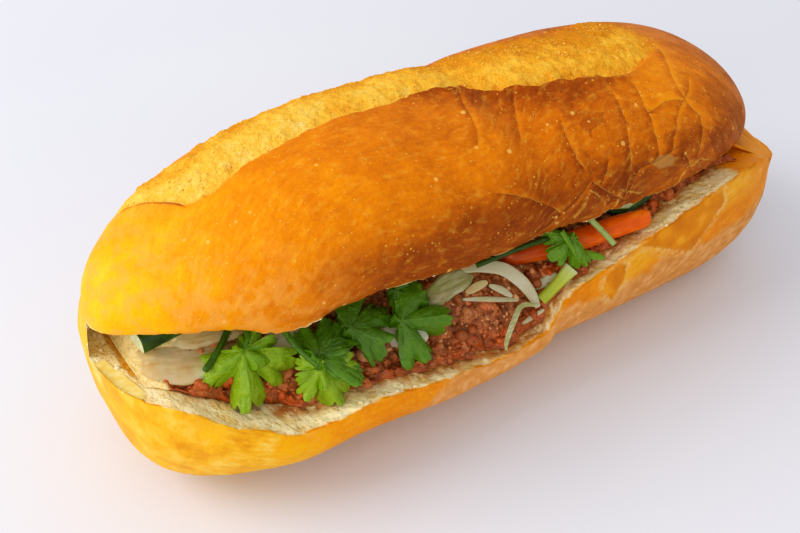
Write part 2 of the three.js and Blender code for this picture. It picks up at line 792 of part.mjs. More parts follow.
function coriander() {
  const leftBase = vec(-84.1, -24.7, 50);
  const lowerBase = vec(-67.7, -36.1, 44.8);
  const middleBase = vec(-67.2, -35, 46.6);
  const tilted = vec(-0.2, -0.72, 0.66);
  return {
    coriander_stem_left: stemGeometry(
      [vec(-82.9, -14.6, 50.6), vec(-88.1, -19.2, 49.2), vec(-94.3, -23.2, 47.6)],
      0.9,
    ),
    coriander_sprig_left: sprig([
      stemGeometry([vec(-80.6, -19.6, 53), vec(-81.5, -22.5, 52), leftBase], 0.8),
      leafGeometry({ base: leftBase, tip: vec(-87.4, -33.6, 37.5), facing: tilted, phase: 1 }),
      leafGeometry({
        base: vec(-83.4, -24.9, 50.6),
        tip: vec(-74.6, -25.8, 50.6),
        facing: UP_FRONT,
        width: 0.7,
      }),
    ]),
    coriander_sprig_middle: sprig([
      stemGeometry([vec(-72.1, -22.6, 52), vec(-70.8, -30, 48.5), lowerBase], 0.9),
      leafGeometry({
        base: lowerBase,
        tip: vec(-74.4, -35.4, 41),
        facing: tilted,
        width: 0.9,
        phase: 2,
      }),
      leafGeometry({
        base: lowerBase,
        tip: vec(-64.4, -42.4, 34.5),
        facing: tilted,
        width: 0.85,
        phase: 3,
      }),
      leafGeometry({ base: middleBase, tip: vec(-54.4, -29.6, 48.6), facing: UP_FRONT, phase: 4 }),
      leafGeometry({
        base: vec(-66.6, -33.8, 47.4),
        tip: vec(-59.4, -25.8, 52),
        facing: vec(-0.5, -0.45, 0.75),
        width: 0.7,
        phase: 4,
      }),
    ]),
    coriander_leaf_back: leafGeometry({
      base: vec(-55.4, -30.6, 48.5),
      tip: vec(-40.6, -28.4, 48.4),
      facing: UP_FRONT,
      width: 0.9,
      phase: 5,
    }),
    coriander_leaf_centre: leafGeometry({
      base: vec(-40.7, -32.9, 45.4),
      tip: vec(-26.8, -36.6, 42.6),
      facing: vec(-0.2, -0.62, 0.75),
      phase: 0.5,
    }),
    coriander_leaf_upper: leafGeometry({
      base: vec(-38.4, -25.7, 49.6),
      tip: vec(-30.4, -30.6, 47),
      facing: UP_FRONT,
      width: 0.9,
      phase: 2.6,
    }),
    coriander_sprig_right: sprig([
      stemGeometry([vec(13.3, -34.2, 54.2), vec(14.6, -37.4, 50.4), vec(15.8, -39.8, 46.8)], 0.9),
      leafGeometry({
        base: vec(15.8, -36.4, 52),
        tip: vec(8, -36.8, 46.6),
        facing: UP_FRONT,
        width: 1.1,
        phase: 1.6,
      }),
    ]),
    coriander_tip_right: stripGeometry(
      [vec(17.3, -38.3, 47.6), vec(20.4, -40.6, 46.6), vec(23.6, -42.6, 45.4)],
      1.3,
      0.5,
      UP_FRONT,
      6,
    ),
    coriander_stem_back: stemGeometry(
      [vec(-11.7, -27.8, 48.3), vec(0.3, -29.4, 49.6), vec(12.6, -31.4, 50.6)],
      0.8,
    ),
    pale_stem_right: stemGeometry(
      [vec(24.2, -33.6, 54), vec(26.6, -37.2, 50.6), vec(28.8, -40.6, 47)],
      0.9,
    ),
  };
}

// ---- Assembly ---------------------------------------------------------------------------------

const sandwich = new THREE.Group();
const keptClear = [];

function addPiece(name, geometry, finish) {
  const material = new THREE.MeshStandardMaterial({ metalness: 0, ...FINISHES[finish] });
  const mesh = new THREE.Mesh(geometry, material);
  mesh.name = name;
  sandwich.add(mesh);
  keptClear.push(grown(geometry, GAP));
}

/** Adds a piece after cutting back what would touch the pieces already there. */
function addFitted(name, geometry, finish) {
  const whole = toSolid(geometry);
  const fitted = keptClear.reduce((solid, other) => solid.subtract(other), whole);
  addPiece(name, toGeometry(largestBody(fitted)), finish);
}

const roll = rollGeometry();
addPiece('bread_roll', roll, 'crust');
addPiece('ground_meat', groundMeat(roll), 'meat');
for (const [name, slice] of Object.entries(ONION_SLICES)) {
  addFitted(name, sliceGeometry(slice), 'onion');
}
addFitted('cucumber_baton', cucumberBaton(), 'cucumber');
addFitted('cucumber_slice', cucumberSlice(), 'cucumber');
addFitted('red_chilli', redChilli(), 'chilli');
addFitted('green_onion_stalk', greenOnionStalk(), 'greenOnion');
addFitted('onion_arc_outer', onionArcOuter(), 'onion');
addFitted('onion_arc_inner', onionArcInner(), 'onion');
addFitted('onion_tip', onionTip(), 'onion');
addFitted('onion_shred_straight', shredStraight(), 'onion');
addFitted('onion_shred_bent', shredBent(), 'onion');
addFitted('onion_shred_short', shredShort(), 'onion');
for (const [name, geometry] of Object.entries(coriander())) {
  addFitted(name, geometry, 'herb');
}

export default sandwich;
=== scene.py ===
"""Banh mi sandwich: the finished look of a split crusty roll and its filling.

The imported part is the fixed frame. Every solid of it is replaced by a finer piece
of the same form, with relief in its mesh and a node material. Sizes in the
dataclasses are millimetres unless a name says otherwise, and t runs along the roll
from -1 at its left tip to 1 at its right tip.
"""

import logging
import math
from collections.abc import Callable, Iterable
from dataclasses import dataclass, field
from enum import Enum

import bpy
import numpy as np
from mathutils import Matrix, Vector


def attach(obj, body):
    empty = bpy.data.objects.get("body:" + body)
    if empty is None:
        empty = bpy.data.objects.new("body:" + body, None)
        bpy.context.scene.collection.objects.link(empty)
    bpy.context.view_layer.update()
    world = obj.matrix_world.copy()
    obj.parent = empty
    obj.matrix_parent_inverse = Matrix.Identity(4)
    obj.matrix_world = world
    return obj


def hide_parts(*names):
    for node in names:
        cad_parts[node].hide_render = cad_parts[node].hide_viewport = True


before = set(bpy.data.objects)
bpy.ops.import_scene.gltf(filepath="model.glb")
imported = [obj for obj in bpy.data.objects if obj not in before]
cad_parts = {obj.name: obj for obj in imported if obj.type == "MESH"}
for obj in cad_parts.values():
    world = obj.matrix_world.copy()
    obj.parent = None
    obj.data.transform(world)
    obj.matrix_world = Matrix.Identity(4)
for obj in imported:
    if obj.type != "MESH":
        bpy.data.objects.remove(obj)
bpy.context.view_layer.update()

LOG = logging.getLogger("banh_mi")
MM = 0.001
BODY = "root"
FRONT = (-0.25, -0.5, 0.83)
FLESH_SCALE = 0.5
FEW_ARE_LARGE = 2.2
CM2_IN_M2 = 1e4

Array = np.ndarray
Number = float | Array
Point = tuple[float, float, float]
Material = bpy.types.Material
Object = bpy.types.Object
Socket = bpy.types.NodeSocket
Tree = bpy.types.NodeTree


# Small mathematics


def smooth(k: Number) -> Number:
    """Smooth step: 0 for a k of 0 and below, 1 for a k of 1 and above."""
    k = np.clip(k, 0.0, 1.0)
    return k * k * (3.0 - 2.0 * k)


def lerp(low: Number, high: Number, k: Number) -> Number:
    """Value a share k of the way from low to high."""
    return low + (high - low) * k


def hump(value: Number, centre: float, width: float) -> Number:
    """Bump of height 1 at a centre, sunk to 1/e at its width from there."""
    return np.exp(-(((value - centre) / width) ** 2))


def signed_power(value: Number, power: Number) -> Number:
    """Power of the size of a number that keeps its sign."""
    return np.sign(value) * np.abs(value) ** power


def bell(t: Number, sharpness: Number, root: Number) -> Number:
    """Share of full size that is left at t, 0 at tips that a large root makes blunt."""
    return np.maximum(0.0, 1.0 - np.abs(t) ** sharpness) ** (1.0 / root)


def along(sizes: tuple, t: Number) -> Number:
    """Smooth curve through sizes at evenly spaced stations along the roll.

    Args:
        sizes: sizes from the left tip to the right tip.
        t: place along the roll.

    Returns:
        The size there.
    """
    sizes = np.asarray(sizes, float)
    last = len(sizes) - 1
    place = np.clip((np.asarray(t, float) + 1) / 2 * last, 0, last - 1e-9)
    index = np.floor(place).astype(int)
    f = place - index
    before = sizes[np.maximum(index - 1, 0)]
    start, stop = sizes[index], sizes[index + 1]
    after = sizes[np.minimum(index + 2, last)]
    bend = 2 * before - 5 * start + 4 * stop - after + f * (3 * (start - stop) + after - before)
    return start + 0.5 * f * (stop - before + f * bend)


def stack(x: Number, y: Number, z: Number) -> Array:
    """Joins coordinates of any one shape into points."""
    return np.stack(np.broadcast_arrays(x, y, z), -1).astype(float)


def unit(vectors: Array) -> Array:
    """Vectors of the same directions and of length 1."""
    length = np.linalg.norm(vectors, axis=-1, keepdims=True)
    return vectors / np.maximum(length, 1e-12)


def lattice(ix: Array, iy: Array, iz: Array, seed: int) -> Array:
    """Repeatable random number for each corner of a lattice.

    Args:
        ix: whole-number x.
        iy: whole-number y.
        iz: whole-number z.
        seed: which of many patterns.

    Returns:
        Array of numbers between 0 and 1.
    """
    with np.errstate(over="ignore"):
        mixed = (
            ix.astype(np.int64).astype(np.uint32) * np.uint32(374761393)
            + iy.astype(np.int64).astype(np.uint32) * np.uint32(668265263)
            + iz.astype(np.int64).astype(np.uint32) * np.uint32(2246822519)
            + np.uint32((seed * 3266489917) % 4294967296)
        )
        mixed = (mixed ^ (mixed >> np.uint32(15))) * np.uint32(2246822519)
        mixed = (mixed ^ (mixed >> np.uint32(13))) * np.uint32(3266489917)
        mixed = mixed ^ (mixed >> np.uint32(16))
    return mixed.astype(float) / 4294967295.0


def noise(points: Array, size: float | tuple, seed: int = 0, octaves: int = 1) -> Array:
    """Smooth noise in space.

    Args:
        points: places, with a last axis of 3.
        size: distance between its bumps, one number or one for each axis.
        seed: which of many patterns.
        octaves: how many finer layers are added, each half as large.

    Returns:
        Noise, about -1 to 1.
    """
    total, weight, whole = 0.0, 1.0, 0.0
    scaled = points / np.asarray(size, float)
    for octave in range(octaves):
        cell = np.floor(scaled)
        f = scaled - cell
        f = f * f * (3 - 2 * f)
        value = 0.0
        for dx in (0, 1):
            wx = f[..., 0] if dx else 1 - f[..., 0]
            for dy in (0, 1):
                wy = f[..., 1] if dy else 1 - f[..., 1]
                for dz in (0, 1):
                    wz = f[..., 2] if dz else 1 - f[..., 2]
                    corner = lattice(
                        cell[..., 0] + dx, cell[..., 1] + dy, cell[..., 2] + dz, seed + 17 * octave
                    )
                    value = value + wx * wy * wz * corner
        total = total + weight * (2 * value - 1)
        whole += weight
        weight *= 0.5
        scaled = scaled * 2.03 + 5.7
    return total / whole


def cells(points: Array, size: float | tuple, seed: int = 0) -> tuple[Array, Array, Array]:
    """Nearest of randomly placed seeds in space.

    Args:
        points: places, with a last axis of 3.
        size: mean distance between seeds, one number or one for each axis.
        seed: which of many patterns.

    Returns:
        Distance to the nearest seed, how much further the next one is, both as
        shares of size, and a random number of the nearest seed.
    """
    scaled = points / np.asarray(size, float)
    cell = np.floor(scaled)
    first = np.full(scaled.shape[:-1], 9.0)
    second = first.copy()
    tag = np.zeros_like(first)
    for dx in (-1, 0, 1):
        for dy in (-1, 0, 1):
            for dz in (-1, 0, 1):
                cx, cy, cz = cell[..., 0] + dx, cell[..., 1] + dy, cell[..., 2] + dz
                place = stack(
                    cx + lattice(cx, cy, cz, seed),
                    cy + lattice(cx, cy, cz, seed + 1),
                    cz + lattice(cx, cy, cz, seed + 2),
                )
                distance = np.linalg.norm(place - scaled, axis=-1)
                nearer = distance < first
                second = np.where(nearer, first, np.minimum(second, distance))
                tag = np.where(nearer, lattice(cx, cy, cz, seed + 3), tag)
                first = np.where(nearer, distance, first)
    return first, second - first, tag


def spline(points: Iterable, count: int) -> Array:
    """Smooth curve through points, at even steps of its length.

    Args:
        points: corner points, at least 2.
        count: how many points are wanted.

    Returns:
        Array of count points.
    """
    knots = np.asarray(points, float)
    padded = np.vstack([2 * knots[0] - knots[1], knots, 2 * knots[-1] - knots[-2]])
    fine = []
    for i in range(len(knots) - 1):
        a, b, c, d = padded[i : i + 4]
        for f in np.linspace(0, 1, 24, endpoint=False):
            bend = 2 * a - 5 * b + 4 * c - d + f * (3 * (b - c) + d - a)
            fine.append(b + 0.5 * f * (c - a + f * bend))
    fine.append(knots[-1])
    fine = np.array(fine)
    length = np.concatenate([[0], np.cumsum(np.linalg.norm(np.diff(fine, axis=0), axis=1))])
    wanted = np.linspace(0, length[-1], count)
    return np.stack([np.interp(wanted, length, fine[:, k]) for k in range(3)], -1)


# Colours and node trees


def linear(colour: str) -> tuple[float, ...]:
    """Turns an sRGB hex colour into linear light.

    Args:
        colour: six hex digits, such as "e08a1e".

    Returns:
        Red, green, blue and an alpha of 1.
    """
    parts = [int(colour[i : i + 2], 16) / 255 for i in (0, 2, 4)]
    light = [c / 12.92 if c <= 0.04045 else ((c + 0.055) / 1.055) ** 2.4 for c in parts]
    return (*light, 1.0)


def add_node(
    tree: Tree, kind: str, inputs: dict | None = None, **settings: object
) -> bpy.types.Node:
    """Adds a node with its settings, values and links.

    Args:
        tree: node tree.
        kind: type of the node.
        inputs: socket name or number to a value or to the socket that feeds it.
        **settings: properties of the node.

    Returns:
        The node.
    """
    node = tree.nodes.new(kind)
    for name, value in settings.items():
        setattr(node, name, value)
    for name, value in (inputs or {}).items():
        socket = node.inputs[name]
        if isinstance(value, Socket):
            tree.links.new(value, socket)
        else:
            socket.default_value = value
    return node


def wire(
    tree: Tree, kind: str, inputs: dict | None = None, output: int | str = 0, **settings: object
) -> Socket:
    """Adds a node as add_node does and gives the socket of one of its outputs."""
    return add_node(tree, kind, inputs, **settings).outputs[output]


class Paint:
    """Shorthand for the node patterns that the materials share."""

    def __init__(self, name: str) -> None:
        """Starts an empty material.

        Args:
            name: name of the material.
        """
        self.material = bpy.data.materials.new(name)
        self.material.use_nodes = True
        self.tree = self.material.node_tree
        self.tree.nodes.clear()
        self.place = wire(self.tree, "ShaderNodeTexCoord", output="Object")

    def attribute(self, name: str, output: str = "Fac") -> Socket:
        """Reads a value stored on the mesh."""
        return wire(self.tree, "ShaderNodeAttribute", None, output, attribute_name=name)

    def noise(
        self,
        size_mm: float,
        detail: float = 3.0,
        rough: float = 0.55,
        vector: Socket | None = None,
        stretch: Point | None = None,
        distortion: float = 0.0,
    ) -> Socket:
        """Noise between 0 and 1.

        Args:
            size_mm: size of its blotches.
            detail: number of finer layers.
            rough: strength of the finer layers.
            vector: where to read it, the object's own place if left out.
            stretch: scale along each axis, such as (1, 6, 1).
            distortion: how much it is warped.

        Returns:
            Socket with the noise.
        """
        source = self.place if vector is None else vector
        if stretch is not None:
            source = wire(self.tree, "ShaderNodeMapping", {"Vector": source, "Scale": stretch})
        inputs = {
            "Vector": source,
            "Scale": 1 / (size_mm * MM),
            "Detail": detail,
            "Roughness": rough,
            "Distortion": distortion,
        }
        return wire(self.tree, "ShaderNodeTexNoise", inputs, "Fac")

    def voronoi(
        self,
        size_mm: float,
        feature: str = "F1",
        output: str = "Distance",
        vector: Socket | None = None,
    ) -> Socket:
        """Cell pattern.

        Args:
            size_mm: size of its cells.
            feature: which distance it gives.
            output: which socket of the node.
            vector: where to read it, the object's own place if left out.

        Returns:
            Socket with the pattern.
        """
        source = self.place if vector is None else vector
        inputs = {"Vector": source, "Scale": 1 / (size_mm * MM)}
        return wire(self.tree, "ShaderNodeTexVoronoi", inputs, output, feature=feature)

    def warp(self, vector: Socket, size_mm: float, amount_mm: float) -> Socket:
        """Pushes a place about by noise.

        Args:
            vector: the place.
            size_mm: size of the noise.
            amount_mm: how far it is pushed.

        Returns:
            Socket with the new place.
        """
        inputs = {"Vector": vector, "Scale": 1 / (size_mm * MM)}
        push = wire(self.tree, "ShaderNodeTexNoise", inputs, "Color")
        for operation, factors in (
            ("SUBTRACT", {1: (0.5, 0.5, 0.5)}), ("SCALE", {"Scale": 2 * amount_mm * MM})
        ):
            inputs = {0: push, **factors}
            push = wire(self.tree, "ShaderNodeVectorMath", inputs, operation=operation)
        return wire(self.tree, "ShaderNodeVectorMath", {0: vector, 1: push}, operation="ADD")

    def math(self, operation: str, first: Socket | float, second: Socket | float) -> Socket:
        """Result of a named operation on two values or sockets."""
        return wire(self.tree, "ShaderNodeMath", {0: first, 1: second}, operation=operation)

    def times(self, first: Socket | float, second: Socket | float) -> Socket:
        """Product of two values or sockets."""
        return self.math("MULTIPLY", first, second)

    def plus(self, first: Socket | float, second: Socket | float) -> Socket:
        """Sum of two values or sockets."""
        return self.math("ADD", first, second)

    def less(self, first: Socket | float, second: Socket | float) -> Socket:
        """The first of two values or sockets less the second."""
        return self.math("SUBTRACT", first, second)

    def most(self, first: Socket | float, second: Socket | float) -> Socket:
        """The larger of two values or sockets."""
        return self.math("MAXIMUM", first, second)

    def sway(self, value: Socket, pattern: Socket, amount: float) -> Socket:
        """Adds an amount of a pattern, taken round its middle, to a value."""
        return self.plus(value, self.times(self.less(pattern, 0.5), amount))

    def span(
        self, value: Socket, low: float, high: float, start: float = 0.0, end: float = 1.0
    ) -> Socket:
        """Maps a range onto another smoothly.

        Args:
            value: socket.
            low: value that gives start.
            high: value that gives end.
            start: result at low.
            end: result at high.

        Returns:
            Socket with the result.
        """
        if low > high:
            low, high, start, end = high, low, end, start
        inputs = {"Value": value, "From Min": low, "From Max": high}
        inputs |= {"To Min": start, "To Max": end}
        return wire(self.tree, "ShaderNodeMapRange", inputs, interpolation_type="SMOOTHSTEP")

    def ramp(self, factor: Socket, stops: list[tuple[float, str]]) -> Socket:
        """Colours along a value.

        Args:
            factor: socket between 0 and 1.
            stops: pairs of place and sRGB hex colour.

        Returns:
            Socket with the colour.
        """
        node = add_node(self.tree, "ShaderNodeValToRGB", {"Fac": factor})
        elements = node.color_ramp.elements
        while len(elements) < len(stops):
            elements.new(0.5)
        for element, (place, colour) in zip(elements, stops):
            element.position = place
            element.color = linear(colour)
        return node.outputs["Color"]

    def mix(self, factor: Socket | float, first: Socket | str, second: Socket | str) -> Socket:
        """Blend of two sockets or sRGB hex colours."""
        pick = [linear(c) if isinstance(c, str) else c for c in (first, second)]
        inputs = {0: factor, 6: pick[0], 7: pick[1]}
        return wire(self.tree, "ShaderNodeMix", inputs, 2, data_type="RGBA")

    def bump(self, height: Socket, depth_mm: float, normal: Socket | None = None) -> Socket:
        """Relief that the mesh is too coarse for.

        Args:
            height: socket between 0 and 1.
            depth_mm: how deep a height of 1 is.
            normal: relief that it is added to.

        Returns:
            Socket with the normal.
        """
        inputs = {"Height": height, "Distance": depth_mm * MM, "Strength": 1.0}
        if normal is not None:
            inputs["Normal"] = normal
        return wire(self.tree, "ShaderNodeBump", inputs)

    def finish(
        self,
        colour: Socket,
        rough: Socket | float,
        normal: Socket | None = None,
        gloss: float = 0.5,
        flesh: tuple[float, Point] | None = None,
        through: Socket | None = None,
        share: float = 0.25,
    ) -> Material:
        """Ends the tree in a Principled shader.

        Args:
            colour: its colour.
            rough: its roughness.
            normal: its relief.
            gloss: strength of its highlights.
            flesh: weight and reach of the light that goes into wet flesh.
            through: colour of the light that comes through a thin leaf.
            share: how much of the leaf is translucent.

        Returns:
            The material.
        """
        inputs = {"Base Color": colour, "Roughness": rough, "Specular IOR Level": gloss}
        if normal is not None:
            inputs["Normal"] = normal
        if flesh is not None:
            inputs["Subsurface Weight"], inputs["Subsurface Radius"] = flesh
            inputs["Subsurface Scale"] = FLESH_SCALE
        shader = wire(self.tree, "ShaderNodeBsdfPrincipled", inputs)
        if through is not None:
            leaf = wire(self.tree, "ShaderNodeBsdfTranslucent", {"Color": through})
            inputs = {0: share, 1: shader, 2: leaf}
            shader = wire(self.tree, "ShaderNodeMixShader", inputs)
        add_node(self.tree, "ShaderNodeOutputMaterial", {"Surface": shader})
        return self.material


# Meshes


def new_object(name: str, data: bpy.types.ID) -> Object:
    """Puts a mesh, lamp or camera into the scene."""
    made = bpy.data.objects.new(name, data)
    bpy.context.scene.collection.objects.link(made)
    return made


def new_mesh(name: str, points: Array, faces: Iterable, values: dict) -> bpy.types.Mesh:
    """Makes a mesh with its attributes.

    Args:
        name: its name.
        points: array of points in millimetres.
        faces: array or list of faces.
        values: attribute name to an array of one number or three for each point.

    Returns:
        The mesh.
    """
    mesh = bpy.data.meshes.new(name)
    mesh.from_pydata((np.asarray(points) * MM).tolist(), [], [list(f) for f in faces])
    for key, array in values.items():
        array = np.asarray(array, float)
        kind, entry = ("FLOAT_VECTOR", "vector") if array.ndim == 2 else ("FLOAT", "value")
        mesh.attributes.new(key, kind, "POINT").data.foreach_set(entry, array.ravel())
    return mesh


def make_piece(
    name: str,
    points: Array,
    faces: Iterable,
    material: Material,
    values: dict,
    replaces: tuple = (),
) -> Object:
    """Makes a smooth mesh piece that rides on the part.

    Args:
        name: name of the piece.
        points: array of points in millimetres.
        faces: array or list of faces.
        material: its material.
        values: attribute name to an array for each point.
        replaces: names of the solids that it stands for.

    Returns:
        The object.
    """
    mesh = new_mesh(name, points, faces, values)
    mesh.polygons.foreach_set("use_smooth", np.ones(len(mesh.polygons), bool))
    mesh.materials.append(material)
    mesh.update()
    piece = new_object(name, mesh)
    hand_over(piece, replaces)
    return piece


def hand_over(piece: Object, replaces: tuple = ()) -> None:
    """Tells the frame what a piece rides on and stands for.

    Args:
        piece: the object.
        replaces: names of the solids that it stands for.
    """
    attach(piece, BODY)
    if replaces:
        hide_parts(*replaces)
    LOG.info("%s: %d faces", piece.name, len(piece.data.polygons))


def grid_faces(rows: int, columns: int, closed: bool, first: int = 0) -> Array:
    """Quads of a grid of points.

    Args:
        rows: number of rows.
        columns: points in a row.
        closed: whether each row joins up with itself.
        first: number of the grid's first point.

    Returns:
        Array of faces that look outwards when rows run ahead and turn anticlockwise.
    """
    r = np.arange(rows - 1)[:, None] * columns
    c = np.arange(columns if closed else columns - 1)[None, :]
    n = (c + 1) % columns
    quads = np.stack([r + c, r + n, r + n + columns, r + c + columns], -1)
    return first + quads.reshape(-1, 4)


def grid_normals(points: Array, closed: bool) -> Array:
    """Outward directions of a grid of points.

    Args:
        points: array of rows, columns and 3.
        closed: whether each row joins up with itself.

    Returns:
        Array of directions of length 1.
    """
    ahead = np.gradient(points, axis=0)
    if closed:
        around = np.roll(points, -1, axis=1) - np.roll(points, 1, axis=1)
    else:
        around = np.gradient(points, axis=1)
    return unit(np.cross(around, ahead))


def tube_faces(rows: int, columns: int) -> list:
    """Faces of a tube that is closed at both ends.

    Args:
        rows: number of rows.
        columns: points in a row.

    Returns:
        The faces.
    """
    start = list(reversed(range(columns)))
    stop = [(rows - 1) * columns + i for i in range(columns)]
    return grid_faces(rows, columns, True).tolist() + [start, stop]


def frame_at(origin: Point, ahead: Point, facing: Point) -> tuple[Array, Array]:
    """Axes of a piece, with x along it and z as near to facing as it can be.

    Args:
        origin: its place.
        ahead: direction of its length.
        facing: direction that its face looks in.

    Returns:
        Origin and a 3 by 3 array whose rows are the axes.
    """
    x = unit(np.asarray(ahead, float))
    y = unit(np.cross(np.asarray(facing, float), x))
    return np.asarray(origin, float), np.array([x, y, np.cross(x, y)])


@dataclass
class MeshData:
    """Points, faces and attributes that grow as parts are added."""

    points: list = field(default_factory=list)
    faces: list = field(default_factory=list)
    values: dict = field(default_factory=dict)
    count: int = 0

    def add(self, points: Array, faces: Iterable, **values: Number) -> None:
        """Adds a part.

        Args:
            points: its points.
            faces: its faces, numbered from 0.
            **values: attribute name to one number for each point.
        """
        points = np.asarray(points, float).reshape(-1, 3)
        self.points.append(points)
        self.faces.extend([[int(i) + self.count for i in face] for face in faces])
        for key, array in values.items():
            self.values.setdefault(key, []).append(np.broadcast_to(array, len(points)))
        self.count += len(points)

    def piece(self, name: str, material: Material, slot: str, replaces: tuple = ()) -> Object:
        """Makes the piece.

        Args:
            name: name of the piece.
            material: its material.
            slot: material slot; not used.
            replaces: names of the solids that it stands for.

        Returns:
            The object.
        """
        values = {key: np.concatenate(parts) for key, parts in self.values.items()}
        return make_piece(
            name, np.vstack(self.points), self.faces, material, values, replaces
        )


# Things strewn over a surface


@dataclass(frozen=True)
class Scatter:
    """Small rough lumps that geometry nodes strew over a surface."""

    per_cm2: float
    smallest: float
    largest: float
    rough: float = 0.35
    detail: int = 2
    seed: int = 1

    def build(
        self,
        name: str,
        points: Array,
        faces: Iterable,
        weight: Array,
        material: Material,
        slot: str,
        wet: Array | None = None,
    ) -> Object:
        """Makes the lumps as one mesh piece.

        Args:
            name: name of the piece.
            points: points of the surface in millimetres.
            faces: its faces.
            weight: share of the full density at each point.
            material: material of the lumps.
            slot: material slot; not used.
            wet: how wet the surface is at each point, which the lumps take over.

        Returns:
            The object.
        """
        layers = {"weight": np.ravel(weight)}
        if wet is not None:
            layers["wet"] = np.ravel(wet)
        mesh = new_mesh(name + "_ground", points, faces, layers)
        ground = new_object(name + "_ground", mesh)
        modifier = ground.modifiers.new("strew", "NODES")
        modifier.node_group = self._tree(name, material)
        wanted = {
            "Density": self.per_cm2 * CM2_IN_M2,
            "Smallest": self.smallest * MM,
            "Largest": self.largest * MM,
            "Seed": self.seed,
        }
        for item in modifier.node_group.interface.items_tree:
            if item.name in wanted:
                modifier[item.identifier] = wanted[item.name]
        graph = bpy.context.evaluated_depsgraph_get()
        strewn = bpy.data.meshes.new_from_object(ground.evaluated_get(graph))
        bpy.data.objects.remove(ground)
        bpy.data.meshes.remove(mesh)
        strewn.name = name
        if not strewn.materials:
            strewn.materials.append(material)
        piece = new_object(name, strewn)
        hand_over(piece)
        return piece

    def _tree(self, name: str, material: Material) -> Tree:
        """Builds the node group.

        Args:
            name: name of the group.
            material: material of the lumps.

        Returns:
            The group.
        """
        tree = bpy.data.node_groups.new(name, "GeometryNodeTree")
        for label, way, kind in (
            ("Geometry", "INPUT", "Geometry"),
            ("Density", "INPUT", "Float"),
            ("Smallest", "INPUT", "Float"),
            ("Largest", "INPUT", "Float"),
            ("Seed", "INPUT", "Int"),
            ("Geometry", "OUTPUT", "Geometry"),
        ):
            tree.interface.new_socket(label, in_out=way, socket_type=f"NodeSocket{kind}")
        given = add_node(tree, "NodeGroupInput").outputs
        density = self._times(tree, given["Density"], self._stored(tree, "weight"))
        inputs = {"Mesh": given["Geometry"], "Density": density, "Seed": given["Seed"]}
        strewn = wire(tree, "GeometryNodeDistributePointsOnFaces", inputs, "Points")
        inputs = {0: self._random(tree, "FLOAT", 3), 1: FEW_ARE_LARGE}
        share = wire(tree, "ShaderNodeMath", inputs, operation="POWER")
        inputs = {"Value": share, "To Min": given["Smallest"], "To Max": given["Largest"]}
        radius = wire(tree, "ShaderNodeMapRange", inputs)
        for key, value in (("tag", self._random(tree, "FLOAT", 5)), ("radius", radius)):
            strewn = wire(
                tree,
                "GeometryNodeStoreNamedAttribute",
                {"Geometry": strewn, "Name": key, "Value": value},
                data_type="FLOAT",
                domain="POINT",
            )
        shape = self._random(tree, "FLOAT_VECTOR", 7, (0.5,) * 3, (1.25,) * 3)
        shape = self._scaled(tree, shape, radius)
        inputs = {"Radius": 1.0, "Subdivisions": self.detail}
        ball = wire(tree, "GeometryNodeMeshIcoSphere", inputs, "Mesh")
        turn = self._random(tree, "FLOAT_VECTOR", 9, (0.0,) * 3, (6.28,) * 3)
        inputs = {"Points": strewn, "Instance": ball, "Rotation": turn, "Scale": shape}
        mesh = wire(tree, "GeometryNodeInstanceOnPoints", inputs)
        for step, inputs in (
            ("GeometryNodeRealizeInstances", {}),
            ("GeometryNodeSetPosition", {"Offset": self._roughness(tree)}),
            ("GeometryNodeSetShadeSmooth", {}),
            ("GeometryNodeSetMaterial", {"Material": material}),
        ):
            mesh = wire(tree, step, {"Geometry": mesh, **inputs})
        add_node(tree, "NodeGroupOutput", {"Geometry": mesh})
        return tree

    def _roughness(self, tree: Tree) -> Socket:
        """Offset that makes a lump uneven.

        Args:
            tree: the node group.

        Returns:
            Socket with the offset.
        """
        size = (self.smallest + self.largest) / 2 * MM
        pattern = wire(tree, "ShaderNodeTexNoise", {"Scale": 1.0 / size, "Detail": 3.0})
        centred = wire(tree, "ShaderNodeMath", {0: pattern, 1: 0.5}, operation="SUBTRACT")
        amount = self._times(tree, centred, self._stored(tree, "radius"))
        amount = self._times(tree, amount, 4 * self.rough)
        return self._scaled(tree, wire(tree, "GeometryNodeInputNormal"), amount)

    @staticmethod
    def _stored(tree: Tree, name: str) -> Socket:
        """Reads a named value of the mesh."""
        kind = "GeometryNodeInputNamedAttribute"
        return wire(tree, kind, {"Name": name}, "Attribute", data_type="FLOAT")

    @staticmethod
    def _times(tree: Tree, first: Socket, second: Socket | float) -> Socket:
        """Product of two values."""
        return wire(tree, "ShaderNodeMath", {0: first, 1: second}, operation="MULTIPLY")

    @staticmethod
    def _scaled(tree: Tree, vector: Socket, scale: Socket) -> Socket:
        """A vector times a number."""
        return wire(tree, "ShaderNodeVectorMath", {0: vector, "Scale": scale}, operation="SCALE")

    @staticmethod
    def _random(
        tree: Tree, kind: str, seed: int, low: Point | None = None, high: Point | None = None
    ) -> Socket:
        """Random value for each point.

        Args:
            tree: the node group.
            kind: type of the value.
            seed: which of many draws.
            low: smallest value of each axis.
            high: largest value of each axis.

        Returns:
            Socket with the value.
        """
        node = add_node(tree, "FunctionNodeRandomValue", {"Seed": seed}, data_type=kind)
        if low is not None:
            node.inputs[0].default_value = low
            node.inputs[1].default_value = high
        return node.outputs[0] if kind == "FLOAT_VECTOR" else node.outputs[1]


# Roll


class Half(Enum):
    """The two halves of the roll."""

    BOTTOM = "bottom"
    TOP = "top"


class Skin(Enum):
    """Surfaces that the roll's section runs through, in order."""

    BOTTOM = 0
    WALL = 1
    TOP = 2
    CEILING = 3
    FLOOR = 4


